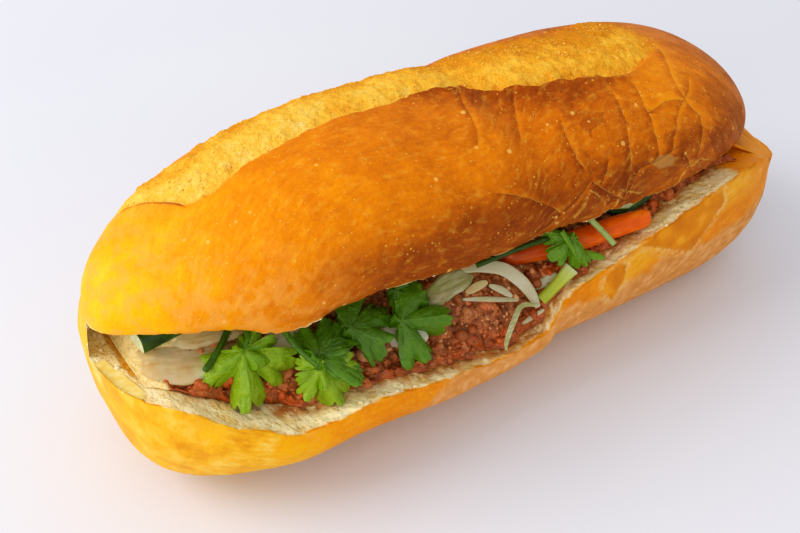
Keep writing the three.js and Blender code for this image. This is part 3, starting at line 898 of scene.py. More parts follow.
@dataclass(frozen=True)
class RollSize:
    """Driving dimensions of the roll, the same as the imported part's."""

    bottom_left: float = -116.0
    bottom_right: float = 116.0
    top_left: float = -115.0
    top_right: float = 105.0
    tip_set_back: float = 2.0
    bottom_sharpness: tuple = (5.6, 5.2)
    bottom_bluntness: tuple = (2.6, 3.4)
    bottom_tip_heights: tuple = (41.0, 36.0)
    bottom_flattening: float = 0.7
    top_sharpness: tuple = (2.4, 4.3)
    top_bluntness: float = 2.1
    top_tip_heights: tuple = (54.0, 52.5)
    top_flattening: float = 0.85
    last_station: float = 0.9995
    bottom_front_widths: tuple = (44, 47.5, 46.5, 46, 45.5, 45)
    bottom_back_width: float = 45.0
    bottom_rim_heights: tuple = (46, 36.5, 32, 27, 26, 31.5, 39.5, 43, 33)
    front_powers: tuple = (0.8, 1, 1.12, 1.06, 1.16, 1.02, 0.92, 0.8, 0.8)
    back_power: float = 0.8
    back_rim_height: float = 40.0
    rim_step: float = 10.6
    rim_step_start: float = 0.02
    rim_step_length: float = 0.09
    rim_lean: float = 2.5
    foot_sink: float = 1.0
    foot_reach: float = 20.0
    top_front_widths: tuple = (34, 38, 36, 38.5, 42, 45)
    top_back_width: float = 39.0
    ridge_heights: tuple = (86, 88, 89, 87, 86.5, 86.5, 85.5)
    top_rim_heights: tuple = (60.5, 59.5, 58.5, 58, 56)
    top_rim_waves: tuple = (2, 3, 1.5, -3, 0.3, 1, -1.3, -2.7, -2.2, -0.5, -1.3, -1, -2, *[0] * 4)
    widest_above_rim: float = 6.5
    top_turn: float = math.radians(200)
    ridge_notch: float = 2.0
    lip_angles: tuple = (30, 88, 87, 85, 86, 101.5, 111, 97, 95)
    crease_start: float = -0.827
    crease_angle: float = 49.0
    crease_slope: float = 400.0
    score_left: float = -0.87
    score_right: float = 0.76
    lip_rise: float = 1.6
    score_sink: float = 2.6
    hinge_floor: tuple = (32.0, 41.0)
    hinge_ceiling: tuple = (29.0, 46.0)
    floor_hollow: float = 3.5
    ceiling_hollow: float = 3.0
    slit_fade_start: float = 0.66
    slit_fade_length: float = 0.17
    slit_left_over: float = 0.07


@dataclass(frozen=True)
class RollDetail:
    """Number of points that the roll's mesh takes."""

    stations: int = 520
    bottom_skin: int = 96
    wall: int = 5
    top_behind: int = 14
    score: int = 104
    top_front: int = 124
    ceiling: int = 26
    floor: int = 66


CRACKS = (
    ((0.499, 118), (0.474, 136), (0.457, 153), (0.449, 166)),
    ((0.392, 135), (0.367, 148), (0.350, 162), (0.326, 187)),
    ((0.218, 165), (0.169, 175), (0.136, 181), (0.054, 195)),
    ((0.227, 166), (0.276, 178), (0.334, 189)),
    ((0.284, 157), (0.251, 169)),
    ((-0.045, 152), (0.037, 162), (0.136, 181)),
    ((0.680, 126), (0.573, 142), (0.515, 155), (0.499, 164)),
    ((0.507, 164), (0.441, 167), (0.375, 169), (0.342, 184)),
    ((0.532, 170), (0.573, 186)),
    ((0.416, 121), (0.400, 129), (0.392, 138)),
    ((0.177, 97), (0.128, 111), (0.095, 122)),
    ((0.058, 88), (0.022, 96), (0.014, 106), (-0.03, 120)),
    ((0.7, 96), (0.66, 112), (0.62, 126), (0.62, 138), (0.64, 149)),
    ((0.474, 136), (0.548, 134), (0.606, 136)),
    ((0.218, 124), (0.202, 143), (0.210, 154)),
    ((0.639, 147), (0.622, 161), (0.589, 173)),
)


@dataclass(frozen=True)
class Patch:
    """Outline of a flake of crust, as pairs of t and degrees round its half."""

    skin: Skin
    corners: tuple
    lift: float = 0.0


PATCHES = {
    "plate": (
        Patch(
            Skin.BOTTOM,
            ((0.214, 3), (0.239, 0), (0.276, 4), (0.27, 11), (0.248, 19), (0.208, 11)),
            0.45,
        ),
        Patch(
            Skin.BOTTOM,
            ((0.336, 1), (0.403, -2), (0.496, -2), (0.607, 1))
            + ((0.625, 5), (0.558, 12), (0.525, 17), (0.425, 10)),
            0.45,
        ),
    ),
    "bare": (
        Patch(
            Skin.TOP,
            ((0.42, 168), (0.447, 164), (0.48, 166), (0.512, 171), (0.49, 175), (0.45, 174)),
            -0.3,
        ),
    ),
    "flake": (
        Patch(
            Skin.TOP, ((0.17, 202), (0.174, 188), (0.214, 170), (0.265, 184), (0.285, 202)), 0.45
        ),
        Patch(Skin.TOP, ((0.31, 202), (0.31, 178), (0.36, 184), (0.401, 190), (0.41, 202)), 0.4),
        Patch(Skin.TOP, ((0.53, 202), (0.54, 184), (0.6, 178), (0.66, 186), (0.67, 202)), 0.35),
    ),
    "gloss": (
        Patch(Skin.TOP, ((0.139, 94), (0.208, 100), (0.239, 110), (0.163, 113), (0.105, 104))),
    ),
}


class RollForm:
    """The roll's surfaces as functions of place."""

    def __init__(self, size: RollSize) -> None:
        """Keeps the sizes."""
        self.size = size

    def bottom_x(self, t: Number) -> Number:
        """Place of a station of the bottom half."""
        return lerp(self.size.bottom_left, self.size.bottom_right, (t + 1) / 2)

    def top_x(self, t: Number) -> Number:
        """Place of a station of the top half."""
        return lerp(self.size.top_left, self.size.top_right, (t + 1) / 2)

    def taper_bottom(self, t: Number, y: Number, z: Number) -> tuple[Number, Number]:
        """Narrows a section of the bottom half to its tips.

        Args:
            t: place along the roll.
            y: full y.
            z: full height.

        Returns:
            The narrowed y and z.
        """
        s, half = self.size, (t + 1) / 2
        share = bell(t, lerp(*s.bottom_sharpness, half), lerp(*s.bottom_bluntness, half))
        tip = lerp(*s.bottom_tip_heights, smooth((t - 0.4) / 0.6))
        side = s.tip_set_back * (1 - share) + y * share
        return side, tip + (z - tip) * share**s.bottom_flattening

    def taper_top(self, t: Number, y: Number, z: Number) -> tuple[Number, Number]:
        """Narrows a section of the top half to its tips.

        Args:
            t: place along the roll.
            y: full y.
            z: full height.

        Returns:
            The narrowed y and z.
        """
        s, half = self.size, (t + 1) / 2
        share = bell(t, lerp(*s.top_sharpness, half), s.top_bluntness)
        tip = lerp(*s.top_tip_heights, half)
        side = s.tip_set_back * (1 - share) + y * share
        return side, tip + (z - tip) * share**s.top_flattening

    def rim_height(self, t: Number) -> Number:
        """Height of the bottom crust's front rim.

        Args:
            t: place along the roll.

        Returns:
            Height.
        """
        s = self.size
        step = s.rim_step * smooth((t - s.rim_step_start) / s.rim_step_length)
        crests = 1.5 * hump(t, -0.42, 0.12) + 3.5 * hump(t, -0.9, 0.06)
        dips = 3.8 * hump(t, -0.66, 0.1) + 1.2 * hump(t, -0.08, 0.08)
        return along(s.bottom_rim_heights, t) + step + crests - dips

    def bottom_profile(self, t: Number, angle: Number) -> tuple[Number, Number]:
        """Section of the bottom half before it narrows.

        Args:
            t: place along the roll.
            angle: 0 at the front rim, half a turn at the back.

        Returns:
            y and z.
        """
        s = self.size
        front = smooth((math.pi / 2 - angle) / (math.pi / 2))
        width = lerp(s.bottom_back_width, along(s.bottom_front_widths, t), front)
        rim = lerp(s.back_rim_height, self.rim_height(t), front)
        lean = s.rim_lean * np.exp(-((angle / 0.25) ** 2))
        power = np.where(angle < math.pi / 2, along(s.front_powers, t), s.back_power)
        side = -width * signed_power(np.cos(angle), power) + lean
        return side, np.maximum(rim - (rim + 4) * np.abs(np.sin(angle)) ** power, 0)

    def bottom_skin(self, t: Number, angle: Number) -> Array:
        """Points of the bottom crust.

        Args:
            t: place along the roll.
            angle: angle round the half.

        Returns:
            Points.
        """
        s = self.size
        y, z = self.taper_bottom(t, *self.bottom_profile(t, angle))
        sunk = np.where(
            z < s.foot_reach, np.maximum(z - s.foot_sink * (1 - z / s.foot_reach), 0), z
        )
        return stack(self.bottom_x(t), y, sunk)

    def lip(self, t: Number) -> Number:
        """Angle of the score's front lip, with the crease at its left.

        Args:
            t: place along the roll.

        Returns:
            Angle in radians.
        """
        s = self.size
        crease = np.maximum(s.crease_angle + s.crease_slope * (t - s.crease_start), 20.0)
        edge = along(s.lip_angles, t)
        return np.radians(np.where(t < -0.6, np.minimum(edge, crease), edge))

    def score_open(self, t: Number) -> Number:
        """How far the score is open at t."""
        s = self.size
        return smooth((t - s.score_left) / 0.07) * smooth((s.score_right - t) / 0.15)

    def ear(self, t: Number) -> Number:
        """How far the lip curls up at t."""
        return 0.25 + 0.9 * smooth((t + 0.15) / 0.2) * smooth((0.6 - t) / 0.25)

    def top_profile(self, t: Number, angle: Number, lip: Number) -> tuple[Number, Number]:
        """Section of the top half before it narrows.

        Args:
            t: place along the roll.
            angle: 0 at the back, the full turn at the front rim.
            lip: angle of the lip.

        Returns:
            y and z.
        """
        s = self.size
        front = smooth((angle - math.pi / 2) / (math.pi / 2))
        width = lerp(s.top_back_width, along(s.top_front_widths, t), front)
        widest = along(s.top_rim_heights, t) + s.widest_above_rim
        rise = along(s.ridge_heights, t) - s.ridge_notch * hump(t, 0.12, 0.06) - widest
        drop = (s.widest_above_rim - along(s.top_rim_waves, t)) / abs(math.sin(s.top_turn))
        past = angle - lip
        ridge = s.lip_rise * self.ear(t) * np.exp(-np.maximum(past, 0) / 0.1) * (past > -0.02)
        dip = np.exp(-((np.maximum(-past - 0.06, 0) / 0.13) ** 2))
        groove = s.score_sink * smooth(-past / 0.035) * dip
        relief = self.score_open(t) * (ridge - groove * (0.45 + 0.55 * self.ear(t)))
        sine = np.sin(angle)
        lift = np.where(sine >= 0, (rise + relief) * np.abs(sine) ** (1 / 1.1), drop * sine)
        return (width + relief) * signed_power(np.cos(angle), 1 / 1.1), widest + lift

    def top_skin(self, t: Number, angle: Number, lip: Number) -> Array:
        """Points of the top crust."""
        y, z = self.taper_top(t, *self.top_profile(t, angle, lip))
        return stack(self.top_x(t), y, z)

    def slit_depth(self, t: Number) -> Number:
        """Share of the slit's depth that is open at t."""
        s = self.size
        fade = smooth((t - s.slit_fade_start) / s.slit_fade_length)
        return 1 - (1 - s.slit_left_over) * fade

    def slit_face(self, half: Half, t: Number, k: Number) -> Array:
        """Points of a face of the slit.

        Args:
            half: which half's face.
            t: place along the roll.
            k: 0 at the rim, 1 at the hinge.

        Returns:
            Points.
        """
        s = self.size
        depth = self.slit_depth(t)
        if half is Half.BOTTOM:
            rim, hinge = self.bottom_profile(t, 0.0 * t), s.hinge_floor
            bow = -s.floor_hollow
        else:
            turn = s.top_turn + 0.0 * t
            rim, hinge = self.top_profile(t, turn, self.lip(t)), s.hinge_ceiling
            bow = s.ceiling_hollow
        y = lerp(rim[0], hinge[0], k * depth)
        z = lerp(rim[1], hinge[1], k * depth) + bow * depth * np.sin(math.pi * k)
        if half is Half.BOTTOM:
            y, z = self.taper_bottom(t, y, z)
            return stack(self.bottom_x(t), y, z)
        y, z = self.taper_top(t, y, z)
        return stack(self.top_x(t), y, z)

    def ceiling_over(self, points: Array) -> Array:
        """Height of the slit's upper face over points.

        Args:
            points: places, with a last axis of 3.

        Returns:
            Heights.
        """
        s = self.size
        t = (points[..., 0] - s.top_left) / (s.top_right - s.top_left) * 2 - 1
        t = np.clip(t, -0.999, 0.999)
        rim = self.slit_face(Half.TOP, t, 0.0 * t)
        hinge = self.slit_face(Half.TOP, t, 0.0 * t + 1)
        span = hinge[..., 1] - rim[..., 1]
        k = np.clip((points[..., 1] - rim[..., 1]) / np.where(np.abs(span) < 1e-6, 1, span), 0, 1)
        return self.slit_face(Half.TOP, t, k)[..., 2]


@dataclass(frozen=True)
class BakedRoll:
    """Baked wheat crust, its torn pale score and the open crumb, in one skin."""

    ring_mm: float = 4.2
    dot_mm: float = 1.3
    plate_mm: float = 9.0
    crust_tones: tuple = (
        (0.0, "ffc83c"),
        (0.18, "fdb404"),
        (0.36, "f89800"),
        (0.55, "e27c00"),
        (0.72, "c26202"),
        (0.86, "a04803"),
        (1.0, "843403"),
    )
    chalk_tones: tuple = ((0.3, "d48a48"), (0.5, "e29a58"), (0.7, "f0b47c"))
    gilt_tones: tuple = ((0.25, "e8940c"), (0.5, "fab424"), (0.75, "ffd268"))
    plate_tones: tuple = ((0.3, "d27406"), (0.55, "e48a06"), (0.75, "f4a428"))
    bare_tones: tuple = ((0.3, "b08048"), (0.7, "cc9c5c"))
    torn_tones: tuple = (
        (0.3, "dc8a1c"),
        (0.4, "f0a42c"),
        (0.48, "fdbb40"),
        (0.56, "ffc954"),
        (0.68, "ffdc88"),
    )
    crumb_tones: tuple = ((0.05, "e8b46a"), (0.3, "f9d698"), (0.7, "ffecbc"))
    flap_tones: tuple = ((0.3, "f5cf62"), (0.7, "fce9a6"))
    pocket_tones: tuple = ((0.3, "cf8420"), (0.7, "eeb040"))

    def build(self) -> Material:
        """Builds the material.

        Returns:
            The material.
        """
        p = Paint("baked_wheat_roll")
        score, crumb = p.attribute("score"), p.attribute("crumb")
        crusty = p.less(1.0, p.most(score, crumb))
        crust, crust_relief = self._crust(p)
        torn, torn_relief = self._torn(p)
        inside, pores = self._crumb(p)
        colour = p.mix(score, crust, torn)
        colour = p.mix(crumb, colour, inside)
        rough = p.span(p.noise(7.0, 5.0, 0.62), 0.3, 0.7, 0.42, 0.56)
        gloss = p.times(p.attribute("gloss"), p.span(p.noise(0.9, 3.0), 0.45, 0.6))
        rough = p.less(rough, p.times(gloss, 0.25))
        matt = p.most(p.most(score, crumb), p.attribute("under"))
        rough = p.plus(rough, p.times(matt, 0.36))
        normal = p.bump(p.times(crust_relief, crusty), 0.22)
        normal = p.bump(p.times(torn_relief, score), 0.6, normal)
        normal = p.bump(p.times(pores, crumb), 0.28, normal)
        return p.finish(colour, rough, normal, gloss=0.1)

    def _crust(self, p: Paint) -> tuple[Socket, Socket]:
        """Crust, golden to brown, mottled at several sizes.

        Args:
            p: the Paint.

        Returns:
            Sockets of the colour and of the relief.
        """
        flow, zone = p.attribute("flow", "Vector"), p.attribute("zone")
        mottle = p.noise(7.0, 5.0, 0.62)
        fine = p.noise(1.1, 3.0, 0.65)
        streak = p.noise(2.4, 3.0, 0.6, vector=flow, stretch=(0.45, 1.6, 1.0))
        calm = p.less(1.0, p.attribute("tip"))
        streak = p.times(p.less(streak, 0.5), calm)
        streak = p.plus(streak, 0.5)
        plates = p.warp(flow, 4.0, 1.6)
        plate_tone = p.voronoi(self.plate_mm, output="Color", vector=plates)
        plate_edge = p.voronoi(self.plate_mm, "DISTANCE_TO_EDGE", vector=plates)
        # baked tone from the mesh, which holds painted light and shade too
        tone = p.sway(p.attribute("bake_and_light"), mottle, 0.4)
        tone = p.sway(tone, p.noise(16.0, 2.0, 0.5), 0.15)
        tone = p.sway(tone, fine, 0.2)
        tone = p.sway(tone, streak, 0.22)
        tone = p.plus(tone, p.times(p.times(p.less(plate_tone, 0.5), 0.2), zone))
        # crust plates: painted shade on one side of each crack, painted light on the other
        near, side = p.attribute("crack"), p.attribute("crack_side")
        split = p.span(side, 0.3 * MM, -0.3 * MM, -0.1, 0.1)
        tone = p.plus(tone, p.times(p.span(near, 3.2 * MM, 0.2 * MM), split))
        crust = p.ramp(tone, self.crust_tones)
        patches = p.times(p.attribute("peach"), p.span(p.noise(4.5, 4.0, 0.6), 0.42, 0.62))
        crust = p.mix(p.times(patches, 0.6), crust, "f6a650")
        blots = p.noise(2.8, 3.0, 0.55, vector=flow, stretch=(0.8, 1.2, 1.0))
        blots = p.times(p.span(blots, 0.48, 0.8, 0.0, 0.3), calm)
        crust = p.mix(blots, crust, "ffbe48")
        dots = self._spots(p, self.dot_mm, 0.3, 0.27)
        rings = self._spots(p, self.ring_mm, 0.4, 0.2)
        crust = p.mix(p.times(dots, 0.55), crust, "ffc254")
        crust = p.mix(p.times(rings, 0.6), crust, "ffcb70")
        # painted highlight on the lifted side of a crack, painted shadow line on the other
        broken = p.span(p.noise(3.0, 3.0), 0.36, 0.5)
        at_crack = p.times(p.span(near, 0.36 * MM, 0.18 * MM), broken)
        lit = p.times(at_crack, p.span(side, -0.08 * MM, 0.1 * MM))
        dark = p.times(at_crack, p.span(side, 0.08 * MM, -0.08 * MM))
        thin = p.times(p.span(plate_edge, 0.028, 0.01), zone)
        thin = p.times(thin, p.span(p.noise(5.0, 3.0), 0.56, 0.66))
        # the brims of lifted flakes get the same painted highlight
        brim = p.times(p.attribute("brim"), p.span(p.noise(1.8, 4.0), 0.4, 0.52))
        lit = p.most(lit, brim)
        crust = p.mix(p.times(dark, 0.2), crust, "7a3404")
        crust = p.mix(p.times(lit, 0.6), crust, "fbbc58")
        crust = p.mix(p.times(thin, 0.2), crust, "f0a63e")
        # matt underside, gold near the rim, flaked pale round the plates that stay orange
        chalk = p.ramp(p.noise(3.4, 4.0, 0.55), self.chalk_tones)
        crust = p.mix(p.attribute("under"), crust, chalk)
        gilt = p.ramp(p.sway(mottle, streak, 0.7), self.gilt_tones)
        crust = p.mix(p.attribute("gold"), crust, gilt)
        flaky = p.times(p.attribute("ring"), p.span(p.noise(1.6, 4.0, 0.7), 0.42, 0.6))
        crust = p.mix(p.times(flaky, 0.75), crust, "efc07c")
        plate = p.ramp(p.noise(6.0, 4.0, 0.5), self.plate_tones)
        crust = p.mix(p.attribute("plate"), crust, plate)
        grey = p.ramp(p.noise(1.2, 3.0, 0.6), self.bare_tones)
        crust = p.mix(p.times(p.attribute("bare"), 0.6), crust, grey)
        relief = p.plus(fine, p.times(p.most(dots, rings), 0.4))
        relief = p.plus(relief, p.less(lit, thin))
        return crust, relief

    def _torn(self, p: Paint) -> tuple[Socket, Socket]:
        """Score: pale torn grain, toasted in spots.

        Args:
            p: the Paint.

        Returns:
            Sockets of the colour and of the relief.
        """
        flow, toast = p.attribute("flow", "Vector"), p.attribute("toast")
        fibre = p.noise(0.55, 4.0, 0.65, vector=flow, stretch=(1.0, 0.45, 1.0), distortion=0.5)
        grain = p.noise(0.5, 3.0, 0.7)
        spots = p.noise(4.5, 4.0, 0.65)
        torn = p.plus(p.times(fibre, 0.35), p.times(grain, 0.25))
        torn = p.plus(torn, p.times(spots, 0.4))
        torn = p.less(torn, p.times(toast, 0.14))
        pale = p.ramp(torn, self.torn_tones)
        return pale, p.plus(p.times(fibre, 0.6), p.times(grain, 0.5))

    def _crumb(self, p: Paint) -> tuple[Socket, Socket]:
        """Crumb: cream, with painted shade in its shallow pores, stained by juice.

        Args:
            p: the Paint.

        Returns:
            Sockets of the colour and of the relief.
        """
        pores, small = p.voronoi(1.5), p.voronoi(0.6)
        # painted shade: each pore is coloured darker towards its middle
        open_pores = p.times(p.span(pores, 0.05, 0.5), 0.6)
        spongy = p.plus(open_pores, p.times(small, 0.5))
        cream = p.ramp(spongy, self.crumb_tones)
        cream = p.mix(p.span(p.noise(5.0, 4.0), 0.42, 0.66, 0.0, 0.7), cream, "ecc06c")
        soaked = p.times(p.attribute("stain"), p.span(p.noise(2.6, 4.0), 0.3, 0.55))
        cream = p.mix(p.times(soaked, 0.9), cream, "bf6c20")
        flap = p.ramp(p.noise(2.4, 3.0, 0.5), self.flap_tones)
        cream = p.mix(p.attribute("flap"), cream, flap)
        pocket = p.ramp(p.noise(1.6, 3.0, 0.6), self.pocket_tones)
        cream = p.mix(p.attribute("pocket"), cream, pocket)
        return cream, p.times(spongy, p.less(1.0, p.attribute("flap")))

    @staticmethod
    def _spots(p: Paint, size_mm: float, rare: float, reach_at_most: float) -> Socket:
        """Small pale blisters, sparse and of uneven size.

        Args:
            p: the Paint.
            size_mm: mean distance between places where one may be.
            rare: share of those places that stay empty.
            reach_at_most: radius of the largest one, as a share of size_mm.

        Returns:
            Socket, 1 on a blister.
        """
        near = p.voronoi(size_mm)
        pick = p.voronoi(size_mm, output="Color")
        reach = p.span(pick, rare, 1.0, -0.05, reach_at_most)
        return p.span(p.less(reach, near), -0.05, 0.05)


BREAD_BITS = Scatter(28.0, 0.22, 0.85, 0.45, 2, 11)
SCORE_GRAINS = Scatter(32.0, 0.16, 0.42, 0.3, 1, 12)


class BreadBits:
    """Torn bits of bread, mottled and matt."""

    def build(self, name: str, shade: str, pale: str) -> Material:
        """Builds the material.

        Args:
            name: name of the material.
            shade: sRGB hex of its dark parts.
            pale: sRGB hex of its pale parts.

        Returns:
            The material.
        """
        p = Paint(name)
        tone = p.sway(p.attribute("tag"), p.noise(0.5, 3.0, 0.6), 0.6)
        colour = p.ramp(tone, [(0.2, shade), (0.8, pale)])
        rough = p.span(tone, 0.2, 0.8, 0.8, 0.95)
        return p.finish(colour, rough, p.bump(p.noise(0.3, 2.0, 0.6), 0.08), gloss=0.2)


def outline_depth(u: Array, v: Array, corners: list) -> Array:
    """How far places lie inside a closed outline.

    Args:
        u: first coordinate of the places.
        v: second coordinate.
        corners: pairs of coordinates round the outline.

    Returns:
        Distance to the outline, below 0 outside it.
    """
    inside = np.zeros(u.shape, bool)
    nearest = np.full(u.shape, 1e3)
    for (ax, ay), (bx, by) in zip(corners, corners[1:] + corners[:1]):
        dx, dy = bx - ax, by - ay
        k = np.clip(((u - ax) * dx + (v - ay) * dy) / (dx * dx + dy * dy), 0, 1)
        nearest = np.minimum(nearest, np.hypot(u - ax - k * dx, v - ay - k * dy))
        across = (ay > v) != (by > v)
        inside ^= across & (u < ax + dx * (v - ay) / np.where(abs(dy) < 1e-9, 1e-9, dy))
    return np.where(inside, nearest, -nearest)


# crust tones by x: real browning and painted light, lighter at the left where the light falls
TOP_BAKE_AND_LIGHT = (
    (-115, -95, -80, -60, -40, -10, 20, 50, 80, 105),
    (0.14, 0.3, 0.41, 0.52, 0.56, 0.62, 0.69, 0.72, 0.72, 0.66),
)
SIDE_BAKE_AND_LIGHT = ((-116, -90, -60, -20, 60, 116), (0.06, 0.18, 0.36, 0.46, 0.5, 0.42))
SLIT_BAKE = 0.36
CRACK_RADIUS = 42.0
PATCH_RADIUS = 44.0
NO_CRACK = 30.0


class Roll:
    """The split roll: one closed skin of crust, score and crumb."""

    def __init__(self, form: RollForm, detail: RollDetail) -> None:
        """Keeps what it is made from."""
        self.form = form
        self.detail = detail

    def stations(self) -> Array:
        """Places along the roll, closer together near the tips."""
        u = np.linspace(-1, 1, self.detail.stations)
        eased = 0.45 * u + 0.55 * np.sin(u * math.pi / 2)
        return eased * self.form.size.last_station

    def build(self, material: Material) -> Object:
        """Makes the mesh with its relief.

        Args:
            material: its material.

        Returns:
            The object.
        """
        form, d = self.form, self.detail
        t = self.stations()[:, None]
        x_line = np.concatenate([form.top_x(t), 0 * t, 0 * t], -1)
        waver = 0.030 * noise(x_line, 7.0, 3, 2) + 0.020 * noise(x_line, 1.6, 4, 2)
        lip = form.lip(t) + waver[:, None] * form.score_open(t) * (0.4 + 0.9 * form.ear(t))
        parts, kinds = [], []

        def put(points: Array, skin: Skin) -> None:
            """Adds the points of a surface."""
            parts.append(points)
            kinds.extend([skin.value] * points.shape[1])

        low = np.concatenate(
            [np.linspace(0, 0.35, 18), np.linspace(0.35, math.pi, d.bottom_skin - 17)[1:]]
        )
        put(form.bottom_skin(t, low[None, :]), Skin.BOTTOM)
        back_low, back_high = parts[0][:, -1:], form.top_skin(t, 0 * t, lip)
        k = np.linspace(0, 1, d.wall + 2)[1:-1][None, :, None]
        wall = lerp(back_low, back_high, k)
        wall[..., 1] += 1.2 * np.sin(math.pi * k[..., 0]) * bell(t, 5, 2)
        put(wall, Skin.WALL)
        start = lip * 0.35
        behind = np.linspace(0, 1, d.top_behind, endpoint=False)[None, :] * start
        score = lerp(start, lip + 0.14, np.linspace(0, 1, d.score, endpoint=False)[None, :])
        front = lerp(lip + 0.14, form.size.top_turn, np.linspace(0, 1, d.top_front)[None, :])
        angle = np.concatenate([behind, score, front], 1)
        put(form.top_skin(t, angle, lip), Skin.TOP)
        inward = np.linspace(0, 1, d.ceiling + 1)[1:][None, :] ** 1.3
        put(form.slit_face(Half.TOP, t, inward + 0 * t), Skin.CEILING)
        outward = (np.linspace(0, 1, d.floor + 1)[1:][None, :] ** 1.4)[:, ::-1]
        put(form.slit_face(Half.BOTTOM, t, outward + 0 * t), Skin.FLOOR)
        points = np.concatenate(parts, 1)
        kind = np.broadcast_to(np.array(kinds)[None, :], points.shape[:2])
        angle_all = np.zeros(points.shape[:2])
        angle_all[:, kind[0] == Skin.TOP.value] = angle
        angle_all[:, kind[0] == Skin.BOTTOM.value] = low[None, :]
        depth = np.zeros(points.shape[:2])
        depth[:, kind[0] == Skin.CEILING.value] = inward
        depth[:, kind[0] == Skin.FLOOR.value] = outward
        values = self._values(points, kind, angle_all, t, lip, depth)
        points = self._relief(points, kind, angle_all, t, values)
        rows, columns = points.shape[:2]
        faces = tube_faces(rows, columns)
        flat = {
            key: array.reshape(-1, 3) if array.ndim == 3 else array.ravel()
            for key, array in values.items()
        }
        flat.pop("lift")
        roll = make_piece(
            "roll", points.reshape(-1, 3), faces, material, flat, ("bread_roll",)
        )
        self._strew(points, values, t)
        return roll

    @staticmethod
    def _strew(points: Array, values: dict, t: Array) -> None:
        """Strews torn bits of bread along the rims and grains over the score.

        Args:
            points: rows, columns and 3.
            values: what _values gave.
            t: place along the roll of each row.
        """
        rows, columns = points.shape[:2]
        faces = grid_faces(rows, columns, True).tolist()
        flat = points.reshape(-1, 3)
        rim = np.abs(values["rim"]) / MM
        patchy = smooth((noise(points, 7.0, 62, 2) - 0.05) / 0.3)
        near_rim = hump(rim, 0.6, 1.2) * patchy * (values["crumb"] > 0.02)
        left_end = smooth((-0.95 - t) / 0.01) * values["crumb"] * (1 - values["flap"])
        weight = np.clip(near_rim + 0.8 * left_end, 0, 1)
        bits = BreadBits().build("bread_bits", "e8d29c", "f7ecca")
        BREAD_BITS.build("torn_bread_bits", flat, faces, weight, bits, "crust")
        grains = BreadBits().build("toasted_grains", "e6a43c", "f9cc6a")
        weight = values["score"] * smooth((noise(points, 5.0, 63, 2) + 0.3) / 0.4)
        SCORE_GRAINS.build("score_grains", flat, faces, weight, grains, "crust")

    def _values(
        self, points: Array, kind: Array, angle: Array, t: Array, lip: Array, depth: Array
    ) -> dict:
        """What the material reads from the mesh.

        Args:
            points: rows, columns and 3.
            kind: number of the surface at each point.
            angle: angle round its half.
            t: place along the roll of each row.
            lip: angle of the lip of each row.
            depth: share of the slit's depth, 0 outside it.

        Returns:
            Attribute name to an array.
        """
        form = self.form
        top, low, floor = (kind == s.value for s in (Skin.TOP, Skin.BOTTOM, Skin.FLOOR))
        inside = kind >= Skin.CEILING.value
        step = np.linalg.norm(np.roll(points, -1, 1) - points, axis=-1)
        around = np.cumsum(step, axis=1)
        first_ceiling = np.argmax(kind[0] == Skin.CEILING.value)
        total = around[:, -1:]
        from_bottom_rim = np.minimum(around, total - around)
        from_top_rim = np.abs(around - around[:, first_ceiling - 1 : first_ceiling])
        rim = np.minimum(from_bottom_rim, from_top_rim)
        rim = np.where(inside, rim, -rim)
        ragged = 1.5 * noise(points, 5.0, 21, 3) + 0.6 * noise(points, 1.2, 22, 2)
        past = angle - lip
        open_ = form.score_open(t)
        fuzz = 0.035 * noise(points, 1.6, 23, 2)
        front_edge = smooth((-past - 0.01 + fuzz) / 0.03)
        back_edge = smooth((past + 0.95 + 4 * fuzz) / 0.25)
        score = np.where(top, open_ * front_edge * back_edge, 0.0)
        bake_and_light = self._bake_and_light(points, kind, angle, t, past, open_)
        under = self._under(points, low)
        wander = 0.03 * noise(points, 4.0, 34, 3)
        soaked = smooth((depth - along(HeapSize.front_edges, t) + 0.06 + wander) / 0.06)
        soaked = soaked * smooth((t + 0.72 + 0.03 * noise(points, 5.0, 35, 2)) / 0.03)
        stain = np.where(floor, soaked, 0.0)
        flow = np.stack([points[..., 0] * MM, around * MM, 0 * around], -1)
        ends = smooth((0.70 + 0.02 * noise(points, 6.0, 24, 2) - t) / 0.03)
        crumb = smooth((rim + ragged + 0.1) / 0.7) * ends
        crack, side = self._cracks(t, angle, top)
        x = points[..., 0]
        low_left = smooth((-45 - x) / 40) * smooth((84 - points[..., 2]) / 14)
        gold_zone = smooth((x - 20) / 15) * smooth(1.2 - np.abs(rim + 7) / 7) * 0.7
        gold_zone = gold_zone * smooth((98 - x) / 20)
        gold_zone = gold_zone + smooth((-66 - x) / 24)
        gold = np.where(low, gold_zone * smooth((noise(points, 9.0, 25, 3) + 0.45) / 0.3), 0.0)
        toast = np.where(top, smooth((-past - 0.28) / 0.4) + 0.5 * noise(points, 8.0, 26, 2), 0.0)
        toast = toast + 0.5 * smooth((x + 20) / 60) - 0.4 * smooth((-10 - x) / 50)
        zone = np.where(top, smooth((x + 5) / 30) * smooth((past - 0.1) / 0.2), 0.0)
        patches, ring, lift = self._patches(t, angle, kind, points)
        corner = t + 0.006 * noise(points, 3.0, 29, 2)
        reach = np.minimum(-0.958 + 0.12 * depth, -0.936 - 0.08 * (depth - 0.16))
        flap = np.where(floor, smooth((reach - corner) / 0.004), 0.0)
        flap = flap * smooth((0.62 - depth) / 0.05)
        pocket = smooth((corner + 0.95) / 0.01) * smooth((-0.87 - corner) / 0.02)
        pocket = np.where(floor, pocket * smooth((depth - 0.3) / 0.1), 0.0)
        return {
            "crumb": crumb,
            "rim": rim * MM,
            "score": score,
            "bake_and_light": bake_and_light,
            "under": under,
            "crack": crack * MM,
            "crack_side": side * MM,
            "stain": stain,
            "flow": flow,
            "peach": np.where(top, low_left, 0.0),
            "gold": np.clip(gold, 0, 1),
            "toast": toast,
            "tip": smooth((np.abs(t + 0 * angle) - 0.8) / 0.1),
            "zone": zone,
            "ring": ring,
            "lift": lift,
            "flap": flap,
            "pocket": pocket,
            **patches,
        }

